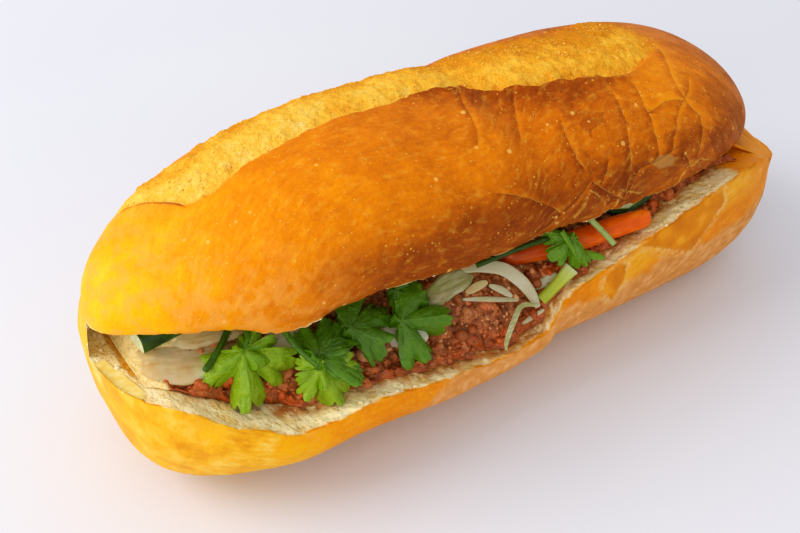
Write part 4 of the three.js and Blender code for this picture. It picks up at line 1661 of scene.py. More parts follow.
    def _patches(
        self, t: Array, angle: Array, kind: Array, points: Array
    ) -> tuple[dict, Array, Array]:
        """Where the flakes of crust lie.

        Args:
            t: place along the roll of each row.
            angle: angle round its half.
            kind: number of the surface at each point.
            points: rows, columns and 3.

        Returns:
            Kind of patch to its share at each point, share of the flaky ring round the
            raised ones, and how far the skin is lifted.
        """
        radius = PATCH_RADIUS
        wander = 0.7 * noise(points, 2.4, 33, 3)
        shares, ring, lift = {}, np.zeros(angle.shape), np.zeros(angle.shape)
        brim = np.zeros(angle.shape)
        for name, patches in PATCHES.items():
            share = np.zeros(angle.shape)
            for patch in patches:
                place = self.form.bottom_x if patch.skin is Skin.BOTTOM else self.form.top_x
                corners = [(float(place(a)), math.radians(b) * radius) for a, b in patch.corners]
                inside = outline_depth(place(t) + 0 * angle, angle * radius, corners) + wander
                skin = kind == patch.skin.value
                here = skin * smooth(inside / 0.5 + 0.5)
                share = np.maximum(share, here)
                lift = lift + here * patch.lift
                if name == "plate":
                    ring = np.maximum(ring, skin * smooth((inside + 3.5) / 2.5))
                if patch.lift > 0:
                    brim = np.maximum(brim, skin * hump(inside, 0.1, 0.32))
            shares[name] = share
        shares["brim"] = brim
        return shares, ring, lift

    @staticmethod
    def _bake_and_light(
        points: Array, kind: Array, angle: Array, t: Array, past: Array, open_: Array
    ) -> Array:
        """How brown the crust is, with painted light and shade in it.

        Args:
            points: places, with a last axis of 3.
            kind: number of the surface at each point.
            angle: angle round the half.
            t: place along the roll.
            past: angle past the lip.
            open_: how far the score is open.

        Returns:
            Tone, 0 pale to 1 dark.
        """
        x = points[..., 0]
        tone = np.interp(x, *TOP_BAKE_AND_LIGHT)
        # painted shade: the top half's crust is darker low on its front, towards the rim
        low_front_shade = smooth((82 - points[..., 2]) / 14) * smooth((x + 92) / 50)
        low_front_shade = low_front_shade * (1 - 0.75 * smooth((x - 10) / 40)) * smooth((angle - 1.0) / 0.6)
        golden = hump(x, 60, 19) * hump(angle, 2.0, 0.5)
        # painted shadow along the crease where the crust overhangs the score's left end
        crease_shadow = 0.5 * hump(past, 0.0, 0.03) * smooth((-0.72 - t) / 0.01) * open_
        lip_burn = np.exp(-np.maximum(past, 0) / 0.16) * open_
        ear = smooth((t + 0.2) / 0.25) * smooth((0.62 - t) / 0.25)
        burn = lip_burn * (0.02 + 0.32 * ear * (1 + 0.6 * noise(points, 3.0, 32, 2)))
        top = kind == Skin.TOP.value
        tone = np.where(top, tone + burn * (past > -0.06), tone)
        tone = np.where(top, tone + 0.34 * low_front_shade - 0.3 * golden + crease_shadow, tone)
        # bottom crust tones by x, also partly painted light, lighter at the left
        side = np.interp(x, *SIDE_BAKE_AND_LIGHT)
        behind = smooth((angle - 1.9) / 1.1)
        tone = np.where(kind == Skin.BOTTOM.value, lerp(side, tone, behind), tone)
        tone = np.where(kind >= Skin.CEILING.value, SLIT_BAKE, tone)
        tone = tone + 0.06 * noise(points, 22.0, 31, 2)
        return np.clip(tone, 0.02, 0.88)

    @staticmethod
    def _under(points: Array, low: Array) -> Array:
        """How far the matt peach underside shows.

        Args:
            points: places, with a last axis of 3.
            low: whether a point is on the bottom crust.

        Returns:
            Share between 0 and 1.
        """
        height = points[..., 2] + 5.0 * noise(points, 12.0, 41, 3)
        height = height + 3.0 * noise(points, 3.0, 42, 2)
        reach = lerp(14.0, 35.0, smooth((points[..., 0] + 66) / 60))
        tip = smooth((points[..., 0] - 102) / 10) * smooth((points[..., 2] - 20) / 8)
        return np.where(low, smooth((reach - height) / 4.0) * (1 - tip), 0.0)

    def _cracks(self, t: Array, angle: Number, top: Array) -> tuple[Array, Array]:
        """Distance to the nearest crack of the crust and the side of it.

        Args:
            t: place along the roll of each row.
            angle: angle round the top half.
            top: whether a point is on the top crust.

        Returns:
            Distance and signed distance in millimetres.
        """
        radius = CRACK_RADIUS
        u = self.form.top_x(t) + 0 * angle
        v = angle * radius
        nearest = np.full(angle.shape, NO_CRACK)
        signed = nearest.copy()
        wobble_at = stack(u, v, 0)
        u = u + 0.9 * noise(wobble_at, 7.0, 27, 2)
        v = v + 0.9 * noise(wobble_at, 7.0, 28, 2)
        for line in CRACKS:
            knots = [(float(self.form.top_x(a)), math.radians(b) * radius, 0.0) for a, b in line]
            path = spline(knots, 3 * len(knots))[:, :2]
            for (ax, ay), (bx, by) in zip(path[:-1], path[1:]):
                dx, dy = bx - ax, by - ay
                length = math.hypot(dx, dy)
                k = np.clip(((u - ax) * dx + (v - ay) * dy) / length**2, 0, 1)
                distance = np.hypot(u - ax - k * dx, v - ay - k * dy)
                side = np.sign((u - ax) * dy - (v - ay) * dx)
                closer = distance < nearest
                signed = np.where(closer, side * distance, signed)
                nearest = np.where(closer, distance, nearest)
        return np.where(top, nearest, NO_CRACK), np.where(top, signed, NO_CRACK)

    def _relief(
        self, points: Array, kind: Array, angle: Array, t: Array, values: dict
    ) -> Array:
        """Moves the skin by its relief.

        Args:
            points: rows, columns and 3.
            kind: number of the surface at each point.
            angle: angle round its half.
            t: place along the roll of each row.
            values: what _values gave.

        Returns:
            The moved points.
        """
        normals = grid_normals(points, True)
        fade = bell(t, 8, 1.5)
        crust = (1 - values["crumb"]) * (1 - values["score"])
        move = crust * (0.35 * noise(points, 16.0, 51, 2) + 0.10 * noise(points, 3.0, 52, 2))
        knobby = smooth((np.abs(points[..., 0]) - 88) / 16)
        move = move + crust * knobby * 0.7 * noise(points, 6.5, 62, 3)
        flow = values["flow"] / MM
        fibres = 0.4 * noise(flow, (0.9, 2.2, 1.0), 53, 2)
        fibres = fibres + 0.8 * noise(flow, (4.4, 5.2, 1.0), 54, 3)
        fibres = fibres + 0.22 * noise(points, 0.9, 58)
        move = move + values["score"] * (fibres + 0.35)
        move = move + values["lift"] + 0.9 * values["flap"] - 0.6 * values["pocket"]
        move = move + values["ring"] * (0.25 * noise(points, 1.6, 61, 2))
        near, _, tag = cells(points, 1.9, 55)
        holes = -0.5 * smooth((0.4 - near) / 0.3) * (tag > 0.4)
        spongy = 1.4 * holes + 0.9 * noise(points, 4.4, 56, 4) + 0.2 * noise(points, 1.0, 57, 2)
        spongy = spongy * (1 - values["flap"])
        move = move + values["crumb"] * spongy * smooth(values["rim"] / MM / 1.5)
        distance, signed = self._cracks(t, angle, kind == Skin.TOP.value)
        lifted = 0.17 * np.exp(-np.abs(signed) / 2.2) * (signed > 0) * (distance < 20)
        move = move + crust * (lifted - 0.1 * np.exp(-((distance / 0.5) ** 2)))
        rim = np.abs(values["rim"]) / MM
        tear = 1.2 * noise(points, 5.0, 59, 3) + 0.8 * noise(points, 1.5, 60, 2)
        tear = hump(rim, 0.0, 1.4) * tear
        moved = points + normals * (move * fade)[..., None]
        moved[..., 2] += tear * fade * 0.8
        moved[..., 2] = np.maximum(moved[..., 2], 0.0)
        return moved


# Ground meat


@dataclass(frozen=True)
class HeapSize:
    """Driving dimensions of the heap of meat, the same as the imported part's."""

    left: float = -0.935
    right: float = 0.74
    heights: tuple = (44, 43.5, 42, 41, 40, 41, 47, 49, 50)
    front_edges: tuple = (0.14, 0.14, 0.1, 0.06, 0.05, 0.08, 0.12, 0.16, 0.18)
    front_slope: float = 0.16
    clear: float = 0.6
    pressed_start: float = 0.3
    pressed_length: float = 0.3
    back_edge: float = 0.92
    lump_mm: float = 5.0
    grain_mm: float = 2.5


@dataclass(frozen=True)
class HeapDetail:
    """Number of points that the heap's mesh takes."""

    stations: int = 540
    under: int = 8
    back: int = 36
    front: int = 104


LOOSE_LUMPS = Scatter(3.6, 0.9, 2.1, 1.7, 3, 4)
LOOSE_GRAINS = Scatter(24.0, 0.3, 1.0, 1.5, 2, 5)


@dataclass(frozen=True)
class CookedMeat:
    """Coarse cooked ground pork, moist, with red lumps where sauce clings."""

    tones: tuple = (
        (0.05, "7a3812"),
        (0.3, "a4522a"),
        (0.55, "c06a3a"),
        (0.8, "da8c58"),
        (1.0, "efb88a"),
    )
    sauce_tones: tuple = ((0.35, "bc420e"), (0.65, "dc6416"))
    bready_tones: tuple = ((0.3, "e0b468"), (0.65, "f6e2a8"))
    hollow_shade_tone: str = "5c260c"

    def build(self) -> Material:
        """Builds the material.

        Returns:
            The material.
        """
        p = Paint("cooked_ground_pork")
        tag, hollow, wet = p.attribute("tag"), p.attribute("hollow"), p.attribute("wet")
        fine = p.noise(0.7, 3.0, 0.65)
        tone = p.sway(tag, fine, 0.5)
        colour = p.ramp(tone, self.tones)
        sauce = p.ramp(fine, self.sauce_tones)
        colour = p.mix(p.times(wet, 0.8), colour, sauce)
        # painted shade darkens the hollows between the lumps
        colour = p.mix(p.times(hollow, 0.75), colour, self.hollow_shade_tone)
        soft = p.ramp(fine, self.bready_tones)
        colour = p.mix(p.attribute("bready"), colour, soft)
        rough = p.span(fine, 0.3, 0.7, 0.24, 0.46)
        rough = p.less(rough, p.times(wet, 0.12))
        normal = p.bump(fine, 0.25)
        normal = p.bump(p.noise(0.35, 2.0), 0.08, normal)
        return p.finish(colour, rough, normal, flesh=(0.12, (0.003, 0.0012, 0.0008)))


class GroundMeat:
    """The heap of meat, one closed body out to its uneven outline, and its loose lumps."""

    def __init__(self, form: RollForm, size: HeapSize, detail: HeapDetail) -> None:
        """Keeps what it is made from."""
        self.form, self.size, self.detail = form, size, detail

    def edge(self, t: Array) -> Array:
        """Where the heap's front edge lies, as a share of the floor.

        Args:
            t: place along the roll.

        Returns:
            Share of the floor.
        """
        line = np.concatenate([self.form.bottom_x(t), 0 * t, 0 * t], -1)
        waver = 0.03 * noise(line, 9.0, 70, 3) + 0.018 * noise(line, 2.6, 69, 2)
        shy = 0.055 * smooth((-0.55 - t) / 0.2)
        return along(self.size.front_edges, t) + shy + waver.reshape(t.shape)

    def top(self, t: Array, k: Array) -> Array:
        """Points of the heap's upper side.

        Args:
            t: place along the roll.
            k: share of the way from the rim to the hinge.

        Returns:
            Points.
        """
        s, form = self.size, self.form
        floor = form.slit_face(Half.BOTTOM, t, k)
        edge = along(s.front_edges, t)
        pressed = smooth((k - s.pressed_start) / s.pressed_length)
        level = lerp(along(s.heights, t), form.ceiling_over(floor) - s.clear, pressed)
        rise = smooth((k - edge) / s.front_slope)
        ends = smooth((t - s.left) / 0.06) * smooth((s.right - t) / 0.1)
        at_edge = form.slit_face(Half.BOTTOM, t, edge + 0 * k)[..., 2]
        height = lerp(floor[..., 2], lerp(at_edge, level, rise), ends)
        floor[..., 2] = np.maximum(floor[..., 2] + s.clear, height)
        return floor

    def build(self, material: Material) -> Object:
        """Makes the heap.

        Args:
            material: its material.

        Returns:
            The object.
        """
        s, d = self.size, self.detail
        t = np.linspace(s.left, s.right, d.stations)[:, None]
        edge = self.edge(t)
        under_k = lerp(edge, s.back_edge, np.linspace(0, 1, d.under)[None, :])
        under = self.form.slit_face(Half.BOTTOM, t, under_k)
        under[..., 2] += 0.45
        back_k = lerp(s.back_edge, 0.46, np.linspace(0, 1, d.back, endpoint=False)[None, :])
        front_k = lerp(0.46, edge + 0.004, np.linspace(0, 1, d.front)[None, :])
        k = np.concatenate([back_k + 0 * t, front_k], 1)
        upper = self.top(t, k)
        points = np.concatenate([under, upper], 1)
        torn = [noise(points, 2.4, seed, 3) for seed in (72, 73, 74)]
        crumbled = points + 1.5 * stack(*torn)
        near, gap, big_tag = cells(crumbled, s.lump_mm, 71)
        dome = np.sqrt(np.maximum(0, 1 - (near / 0.85) ** 2))
        grain_near, grain_gap, tag = cells(crumbled, s.grain_mm, 75)
        grain = np.sqrt(np.maximum(0, 1 - (grain_near / 0.85) ** 2))
        pebble = np.sqrt(np.maximum(0, 1 - (cells(crumbled, 1.2, 79)[0] / 0.85) ** 2))
        rough = noise(points, 0.8, 76, 2)
        row_t = t + 0 * points[..., 0]
        k_all = np.concatenate([under_k, k], 1)
        seen_to = 0.5 + 0.38 * smooth((-0.66 - row_t) / 0.12)
        shown = smooth((seen_to - k_all) / 0.1) * smooth((k_all - edge) / 0.03)
        shown = shown * smooth((row_t - s.left) / 0.02) * smooth((s.right - row_t) / 0.02)
        shown[:, : d.under] = 0
        move = 3.4 * (dome - 0.6) + 1.9 * (grain - 0.5) + 0.7 * (pebble - 0.5) + 0.3 * rough
        behind = smooth((-0.64 - row_t) / 0.06) * smooth((k_all - 0.36) / 0.06)
        move = shown * move * (1 - 0.6 * behind)
        moved = points + grid_normals(points, True) * move[..., None]
        clear = self.form.slit_face(Half.BOTTOM, t, k_all)[..., 2] + 0.35
        moved[..., 2] = np.maximum(moved[..., 2], clear)
        red = smooth((big_tag - 0.62) / 0.1) * smooth((edge + 0.16 - k_all) / 0.08)
        wet = red + 0.55 * smooth((edge + 0.09 - k_all) / 0.06)
        # painted shade: darker where lumps and grains meet, in the hollows between them
        hollow = smooth((0.16 - grain_gap) / 0.14) * 0.5 + smooth((0.2 - gap) / 0.18) * 0.6
        left_end = smooth((-0.885 - row_t + 0.012 * noise(points, 3.0, 78, 2)) / 0.01)
        values = {
            "tag": (0.55 * tag + 0.45 * big_tag).ravel(),
            "hollow": np.clip(hollow, 0, 1).ravel(),
            "wet": np.clip(wet, 0, 1).ravel(),
            "bready": np.maximum(behind, left_end).ravel(),
        }
        rows, columns = moved.shape[:2]
        faces = tube_faces(rows, columns)
        heap = make_piece(
            "meat_heap", moved.reshape(-1, 3), faces, material, values, ("ground_meat",)
        )
        front = smooth((0.42 - k_all) / 0.08) * smooth((k_all - edge - 0.01) / 0.02)
        front[:, : d.under] = 0
        ground = grid_faces(rows, columns, True).tolist()
        weight = (front * shown).ravel() * (1 - values["bready"])
        for name, scatter in (("meat_lumps", LOOSE_LUMPS), ("meat_grains", LOOSE_GRAINS)):
            scatter.build(
                name, moved.reshape(-1, 3), ground, weight, material, "meat", values["wet"]
            )
        return heap


# Slices, strips and stems


def disc_grid(rings: int, sides: int, point_at: Callable) -> tuple[Array, list, Array, Array]:
    """Closed sheet between two faces, both of rings round a middle point.

    Args:
        rings: number of rings.
        sides: points in a ring.
        point_at: gives points for share from the middle, angle and face 0 or 1.

    Returns:
        Points, faces, the share and the angle of each point.
    """
    share = np.linspace(0, 1, rings + 1)[1:, None]
    angle = np.linspace(0, 2 * math.pi, sides, endpoint=False)[None, :]
    points, shares, angles = [], [], []
    for face in (0, 1):
        points.append(point_at(np.zeros((1, 1)), np.zeros((1, 1)), face).reshape(-1, 3))
        points.append(point_at(share, angle, face).reshape(-1, 3))
        shares += [np.zeros(1), np.broadcast_to(share, (rings, sides)).ravel()]
        angles += [np.zeros(1), np.broadcast_to(angle, (rings, sides)).ravel()]
    half = 1 + rings * sides
    i = np.arange(sides)
    j = (i + 1) % sides
    faces = [[half, half + 1 + a, half + 1 + b] for a, b in zip(i, j)]
    faces += [[0, 1 + b, 1 + a] for a, b in zip(i, j)]
    upper = grid_faces(rings, sides, True, half + 1)
    faces += upper[:, ::-1].tolist()
    faces += grid_faces(rings, sides, True, 1).tolist()
    low, high = half - sides, 2 * half - sides
    faces += [[low + a, low + b, high + b, high + a] for a, b in zip(i, j)]
    return np.vstack(points), faces, np.concatenate(shares), np.concatenate(angles)


def placed(points: Array, frame_axes: tuple) -> Array:
    """Moves points from a piece's own frame."""
    origin, axes = frame_axes
    return points @ axes + origin


@dataclass(frozen=True)
class Slice:
    """Thin slice with a wavy edge, in its own frame."""

    centre: tuple
    ahead: tuple
    facing: tuple
    length: float
    width: float
    thickness: float = 1.5
    dish: float = 0.6
    power: float = 2.6
    phase: float = 0.0

    def mesh(self, rings: int = 22, sides: int = 120) -> tuple[Array, list, Array]:
        """Makes the slice's points.

        Args:
            rings: number of rings.
            sides: points in a ring.

        Returns:
            Points, faces and the share from the middle of each point.
        """

        def point_at(share: Array, angle: Array, face: int) -> Array:
            """Points of a face at shares from the middle and angles round it."""
            c, s = np.cos(angle), np.sin(angle)
            reach = (np.abs(c) ** self.power + np.abs(s) ** self.power) ** (-1 / self.power)
            wave = 1 + 0.05 * np.sin(3 * angle + self.phase)
            wave = wave + 0.03 * np.sin(7 * angle + self.phase)
            ring = stack(2 * c, 2 * s, self.phase)
            wave = wave + 0.05 * share**4 * noise(ring, 0.45, 82, 2)
            x = self.length / 2 * share * reach * wave * c
            y = self.width / 2 * share * reach * wave * s
            round_off = 1 - 0.8 * smooth((share - 0.8) / 0.2)
            relief = 0.3 * noise(stack(x, y, self.phase), 4.0, 81, 3)
            relief = relief - 0.03 * y * y + 0.2 * noise(stack(x / 5, y, face * 9.0), 0.9, 84)
            z = self.dish * share**2 * np.cos(2 * angle + self.phase) + relief
            return stack(x, y, z + (face - 0.5) * self.thickness * round_off)

        points, faces, share, angle = disc_grid(rings, sides, point_at)
        at = frame_at(self.centre, self.ahead, self.facing)
        return placed(points, at), faces, share


@dataclass(frozen=True)
class Strip:
    """Flat strip or round stem that follows a curve."""

    knots: tuple
    width: float
    thickness: float
    facing: tuple = FRONT
    pointed: bool = True
    power: float = 2.6

    def grid(
        self, steps: int = 60, sides: int = 28, profile: Array | None = None
    ) -> tuple[Array, Array, Array]:
        """Makes the strip's points.

        Args:
            steps: stations along it.
            sides: points round it.
            profile: share of full size at each station.

        Returns:
            Rows of points, the share along and the angle round of each.
        """
        centre = spline(self.knots, steps)
        ahead = unit(np.gradient(centre, axis=0))
        side = unit(np.cross(np.asarray(self.facing, float), ahead))
        up = np.cross(ahead, side)
        share = np.linspace(0, 1, steps)[:, None]
        angle = np.linspace(0, 2 * math.pi, sides, endpoint=False)[None, :] + 0.1
        if profile is None:
            rise = np.sin(math.pi * np.clip(share, 0.02, 0.98)) ** 0.5
            profile = 0.25 + 0.75 * rise if self.pointed else 1 + 0 * share
        c = signed_power(np.cos(angle), 2 / self.power)
        s = signed_power(np.sin(angle), 2 / self.power)
        half_width, half_height = self.width / 2 * profile, self.thickness / 2 * profile**0.3
        offset = side[:, None, :] * (half_width * c)[..., None]
        offset = offset + up[:, None, :] * (half_height * s)[..., None]
        return centre[:, None, :] + offset, share + 0 * angle, angle + 0 * share

    def add_to(
        self,
        data: MeshData,
        steps: int = 60,
        sides: int = 28,
        relief: float = 0.0,
        profile: Array | None = None,
        **values: float,
    ) -> None:
        """Adds the strip to a mesh.

        Args:
            data: a MeshData.
            steps: stations along it.
            sides: points round it.
            relief: depth of its fine ribs.
            profile: share of full size at each station.
            **values: attribute name to a number.
        """
        points, share, angle = self.grid(steps, sides, profile)
        if relief:
            ribs = noise(stack(share * 3, angle * 2.2, 0 * angle), (1.0, 0.5, 1.0), 83, 2)
            points = points + grid_normals(points, True) * (relief * ribs)[..., None]
        faces = tube_faces(steps, sides)
        data.add(points, faces, share=share.ravel(), round=angle.ravel(), **values)


class Veined:
    """Moist pale layer of an onion, translucent, with fine veins along it."""

    def build(self, name: str, pale: str, shade: str, share: float = 0.35) -> Material:
        """Builds the material.

        Args:
            name: name of the material.
            pale: sRGB hex of its fleshy parts.
            shade: sRGB hex between them.
            share: how much light comes through.

        Returns:
            The material.
        """
        p = Paint(name)
        veins = p.noise(1.1, 3.0, 0.6, stretch=(0.16, 1.0, 1.0))
        cloud = p.noise(5.0, 3.0, 0.5)
        tint, warm = p.attribute("tint"), p.attribute("warm")
        mixed = p.plus(p.times(veins, 0.55), p.times(cloud, 0.45))
        colour = p.ramp(mixed, [(0.35, shade), (0.62, pale)])
        stripes = p.plus(0.4, p.span(veins, 0.42, 0.56, 0.0, 1.0))
        colour = p.mix(p.times(tint, stripes), colour, "a9b64c")
        toned = p.ramp(cloud, [(0.35, "e8b458"), (0.55, "fbe2a0"), (0.7, "fff4cc")])
        colour = p.mix(p.times(warm, 0.8), colour, toned)
        rough = p.span(cloud, 0.3, 0.7, 0.12, 0.26)
        through = p.mix(0.4, colour, pale)
        return p.finish(colour, rough, p.bump(veins, 0.2), through=through, share=share)


class Onion:
    """Slices, arcs and shreds of raw onion."""

    SLICES = {
        "onion_slice_left": Slice(
            (-95.8, -14.8, 46.6), (20, -9, -0.6), (-0.05, -0.12, 0.99), 25, 14, phase=0.6
        ),
        "onion_slice_behind": Slice(
            (-87.6, -11.4, 49), (16, -6, -0.8), (0, -0.1, 0.99), 20, 10, phase=2.1
        ),
        "onion_slice_middle": Slice(
            (-72.8, -23.2, 45.8), (12, 0.6, 1.2), (-0.1, -0.3, 0.95), 15, 9, phase=4
        ),
        "onion_slice_centre": Slice(
            (-39.8, -32.2, 40.2), (10, -6.4, -4.6), (-0.1, -0.68, 0.72), 14, 8.5, phase=1.2
        ),
        "onion_slice_green": Slice(
            (-20.6, -26.8, 43.8), (16.6, 2.6, 1), (-0.1, -0.45, 0.89), 17, 7, phase=3.3
        ),
        "onion_piece_right": Slice(
            (8.2, -35, 38.2), (6, -2.4, 3.6), (-0.2, -0.6, 0.78), 8, 3.4, thickness=1.2
        ),
    }
    STRIPS = {
        "onion_arc_outer": Strip(
            (
                (-14, -24, 44.6),
                (-8.9, -25.8, 45),
                (-3.4, -29.2, 44.2),
                (0.4, -33.1, 40.8),
                (2.5, -36, 36.9),
                (3.4, -38.6, 33.2),
            ),
            4.0,
            1.3,
            (-0.5, -0.3, 0.8),
        ),
        "onion_arc_inner": Strip(
            ((-8.8, -30.4, 41.3), (-6.2, -32.4, 40), (-3.3, -34.4, 37.4)), 2.1, 0.9
        ),
        "onion_tip": Strip(
            ((-16.8, -30.1, 42), (-13.4, -30.3, 42.8), (-9.9, -30.7, 43.4)), 2.5, 1.0
        ),
        "onion_shred_straight": Strip(
            ((-18.4, -30.8, 40.8), (-12.4, -32.6, 39.4), (-2, -35.6, 36.2)), 1.5, 0.8
        ),
        "onion_shred_bent": Strip(
            (
                (2.5, -39.5, 35),
                (-2.4, -38.1, 36),
                (-7, -40.4, 34),
                (-10.8, -42.6, 30),
                (-11.8, -43.8, 27.8),
            ),
            1.7,
            0.8,
        ),
        "onion_shred_short": Strip(
            ((-1.6, -38.2, 28.6), (2.6, -38.2, 29.7), (5.4, -39.2, 31.6)), 1.5, 0.8
        ),
    }
    TINTS = {
        "onion_slice_green": 0.5,
        "onion_arc_outer": 0.14,
        "onion_arc_inner": 0.2,
        "onion_shred_bent": 0.5,
        "onion_shred_straight": 0.3,
        "onion_piece_right": 0.35,
    }
    WARM = {"onion_slice_left": 0.75, "onion_slice_behind": 0.8, "onion_tip": 0.7}

    def build(self) -> None:
        """Makes every piece of onion."""
        flesh = Veined().build("raw_onion", "fffdf0", "efe9c8", 0.55)
        for node, piece in (self.SLICES | self.STRIPS).items():
            data = MeshData()
            warm, cut = self.WARM.get(node, 0.05), isinstance(piece, Slice)
            tint = self.TINTS.get(node, 0.04 if cut else 0.2)
            if cut:
                points, faces, share = piece.mesh()
                data.add(points, faces, tint=tint, warm=warm, share=share)
            else:
                piece.add_to(data, relief=0.1, tint=tint, warm=warm)
            data.piece(f"dressed_{node}", flesh, "onion", (node,))


@dataclass(frozen=True)
class Cucumber:
    """Baton and slice of cucumber with dark peel and pale flesh."""

    baton: Strip = Strip(
        ((-105.8, -6.2, 51.2), (-96, -5.4, 51.6), (-86, -4, 52)),
        9.2,
        6.4,
        (0, 0, 1),
        pointed=False,
        power=3.2,
    )
    slice: Slice = Slice((44, -24.4, 51), (1, -0.3, 0.1), (-0.1, -0.25, 0.96), 25, 15, 3, 0.3, 2.1)
    steps: int = 40
    sides: int = 64
    rings_of_cut: tuple = (0.05, 0.4, 0.75, 0.95)
    peel_tones: tuple = ((0.3, "12300a"), (0.55, "234c10"), (0.75, "3f7020"))
    flesh_tones: tuple = ((0.3, "cfd9a0"), (0.7, "eef2d2"))
    near_peel: str = "a9c46a"

    def material(self) -> Material:
        """Builds the material.

        Returns:
            The material.
        """
        p = Paint("fresh_cucumber")
        peel = p.attribute("peel")
        mottle = p.noise(2.2, 4.0, 0.6)
        skin = p.ramp(mottle, self.peel_tones)
        flesh = p.ramp(p.noise(1.6, 3.0, 0.5), self.flesh_tones)
        colour = p.mix(p.span(peel, 0.15, 0.5), flesh, self.near_peel)
        colour = p.mix(p.span(peel, 0.5, 0.62), colour, skin)
        rough = p.span(mottle, 0.3, 0.7, 0.25, 0.4)
        return p.finish(colour, rough, p.bump(mottle, 0.12), flesh=(0.1, (0.002, 0.003, 0.001)))

    def build(self) -> None:
        """Makes the baton and the slice."""
        material = self.material()
        body, _, angle = self.baton.grid(self.steps, self.sides)
        rings = self.rings_of_cut
        rows = [lerp(body[0].mean(0), body[0], k) for k in rings]
        rows += list(body)
        rows += [lerp(body[-1].mean(0), body[-1], k) for k in reversed(rings)]
        skin = 0.2 + 0.9 * (0.5 + 0.5 * np.cos(angle[0] - 2.4))
        cut = np.array([0, 0, 0, 0.3] + [1] * self.steps + [0.3, 0, 0, 0])[:, None]
        data = MeshData()
        faces = tube_faces(len(rows), self.sides)
        data.add(np.array(rows), faces, peel=(skin[None, :] * cut).ravel())
        data.piece("dressed_cucumber_baton", material, "cucumber", ("cucumber_baton",))
        points, faces, share = self.slice.mesh()
        data = MeshData()
        data.add(points, faces, peel=smooth((share - 0.8) / 0.15))
        data.piece("dressed_cucumber_slice", material, "cucumber", ("cucumber_slice",))


@dataclass(frozen=True)
class Chilli:
    """Long red chilli that lies along the heap."""

    knots: tuple = (
        (-0.6, -25, 44.4),
        (9, -28, 44.6),
        (18, -30.6, 45),
        (26, -32.6, 45.8),
        (33, -34.2, 46.8),
        (39, -36.4, 48.2),
        (44.4, -38.8, 49.6),
    )
    width: float = 6.9
    thickness: float = 6.2
    bluntness: int = 9
    rib_depth: float = 0.12
    steps: int = 90
    sides: int = 40
    skin_tones: tuple = ((0.3, "da4c00"), (0.55, "f26800"), (0.75, "ff901c"))
    under_lip_shade_tone: str = "8e1d06"

    def material(self) -> Material:
        """Builds the material.

        Returns:
            The material.
        """
        p = Paint("red_chilli_skin")
        streaks = p.noise(3.0, 3.0, 0.5, stretch=(0.3, 1.0, 1.0))
        colour = p.ramp(streaks, self.skin_tones)
        # painted shade: the left part, under the top half's lip, is darkened towards its end
        under_lip_shade = p.span(p.attribute("share"), 0.45, 0.05, 0.0, 0.8)
        colour = p.mix(under_lip_shade, colour, self.under_lip_shade_tone)
        rough = p.span(streaks, 0.3, 0.7, 0.15, 0.26)
        return p.finish(colour, rough, p.bump(streaks, 0.2), 0.3, (0.08, (0.003, 0.001, 0.0005)))

    def build(self) -> Object:
        """Makes the chilli.

        Returns:
            The object.
        """
        data = MeshData()
        share = np.linspace(0, 1, self.steps)[:, None]
        blunt = np.maximum(0.03, 1 - np.abs((share - 0.5) / 0.5) ** self.bluntness) ** 0.5
        dents = 1 + 0.05 * np.sin(11 * share + 1) + 0.03 * np.sin(27 * share)
        strip = Strip(self.knots, self.width, self.thickness, (0, 0, 1), pointed=False, power=2.0)
        strip.add_to(data, self.steps, self.sides, relief=self.rib_depth, profile=blunt * dents)
        return data.piece("dressed_red_chilli", self.material(), "chilli", ("red_chilli",))


@dataclass(frozen=True)
class GreenOnion:
    """Cut length of green onion, ribbed, with an open cut end."""

    knots: tuple = ((4.8, -38.2, 34.8), (10, -38.4, 38.6), (15.3, -38.2, 42.4))
    outer: tuple = (3.4, 2.8)
    inner: tuple = (2.0, 1.5)
    flare: float = 0.7
    neck: float = 1.6
    steps: int = 50
    sides: int = 36
    first_hollow: int = 30
    tones: tuple = ((0.0, "b4c436"), (0.6, "cfd84e"), (0.88, "e2e88c"), (1.0, "f0f2c4"))
    rib_tone: str = "94ab26"

    def material(self) -> Material:
        """Builds the material.

        Returns:
            The material.
        """
        p = Paint("green_onion")
        ribs = p.noise(0.5, 2.0, 0.5, vector=p.attribute("grain", "Vector"), stretch=(1, 0.1, 1))
        colour = p.ramp(p.attribute("share"), self.tones)
        colour = p.mix(p.span(ribs, 0.4, 0.65, 0.0, 0.35), colour, self.rib_tone)
        rough = p.span(ribs, 0.3, 0.7, 0.3, 0.42)
        return p.finish(colour, rough, p.bump(ribs, 0.12), through=colour)

    def build(self) -> Object:
        """Makes the stalk.

        Returns:
            The object.
        """
        hollow = self.first_hollow
        share = np.linspace(0, 1, self.steps)[:, None]
        flare = (self.neck + self.flare * share**3) / self.neck
        outer, inner = (
            Strip(self.knots, *size, pointed=False, power=2.2).grid(self.steps, self.sides, flare)
            for size in (self.outer, self.inner)
        )
        skin, along_all, angle = outer
        points = np.concatenate([skin, inner[0][hollow:][::-1]], 0)
        share_all = np.concatenate([along_all, along_all[hollow:][::-1] * 0.4])
        grain = np.concatenate([stack(angle, 4 * along_all, 0), stack(angle[hollow:], 4, 0)])
        return make_piece(
            "dressed_green_onion_stalk",
            points.reshape(-1, 3),
            tube_faces(len(points), self.sides),
            self.material(),
            {"share": share_all.ravel(), "grain": grain.reshape(-1, 3) * MM},
            ("green_onion_stalk",),
        )


# Coriander


LOBE_TURN = 1.04
LOBE_HALF_WIDTH = 0.52


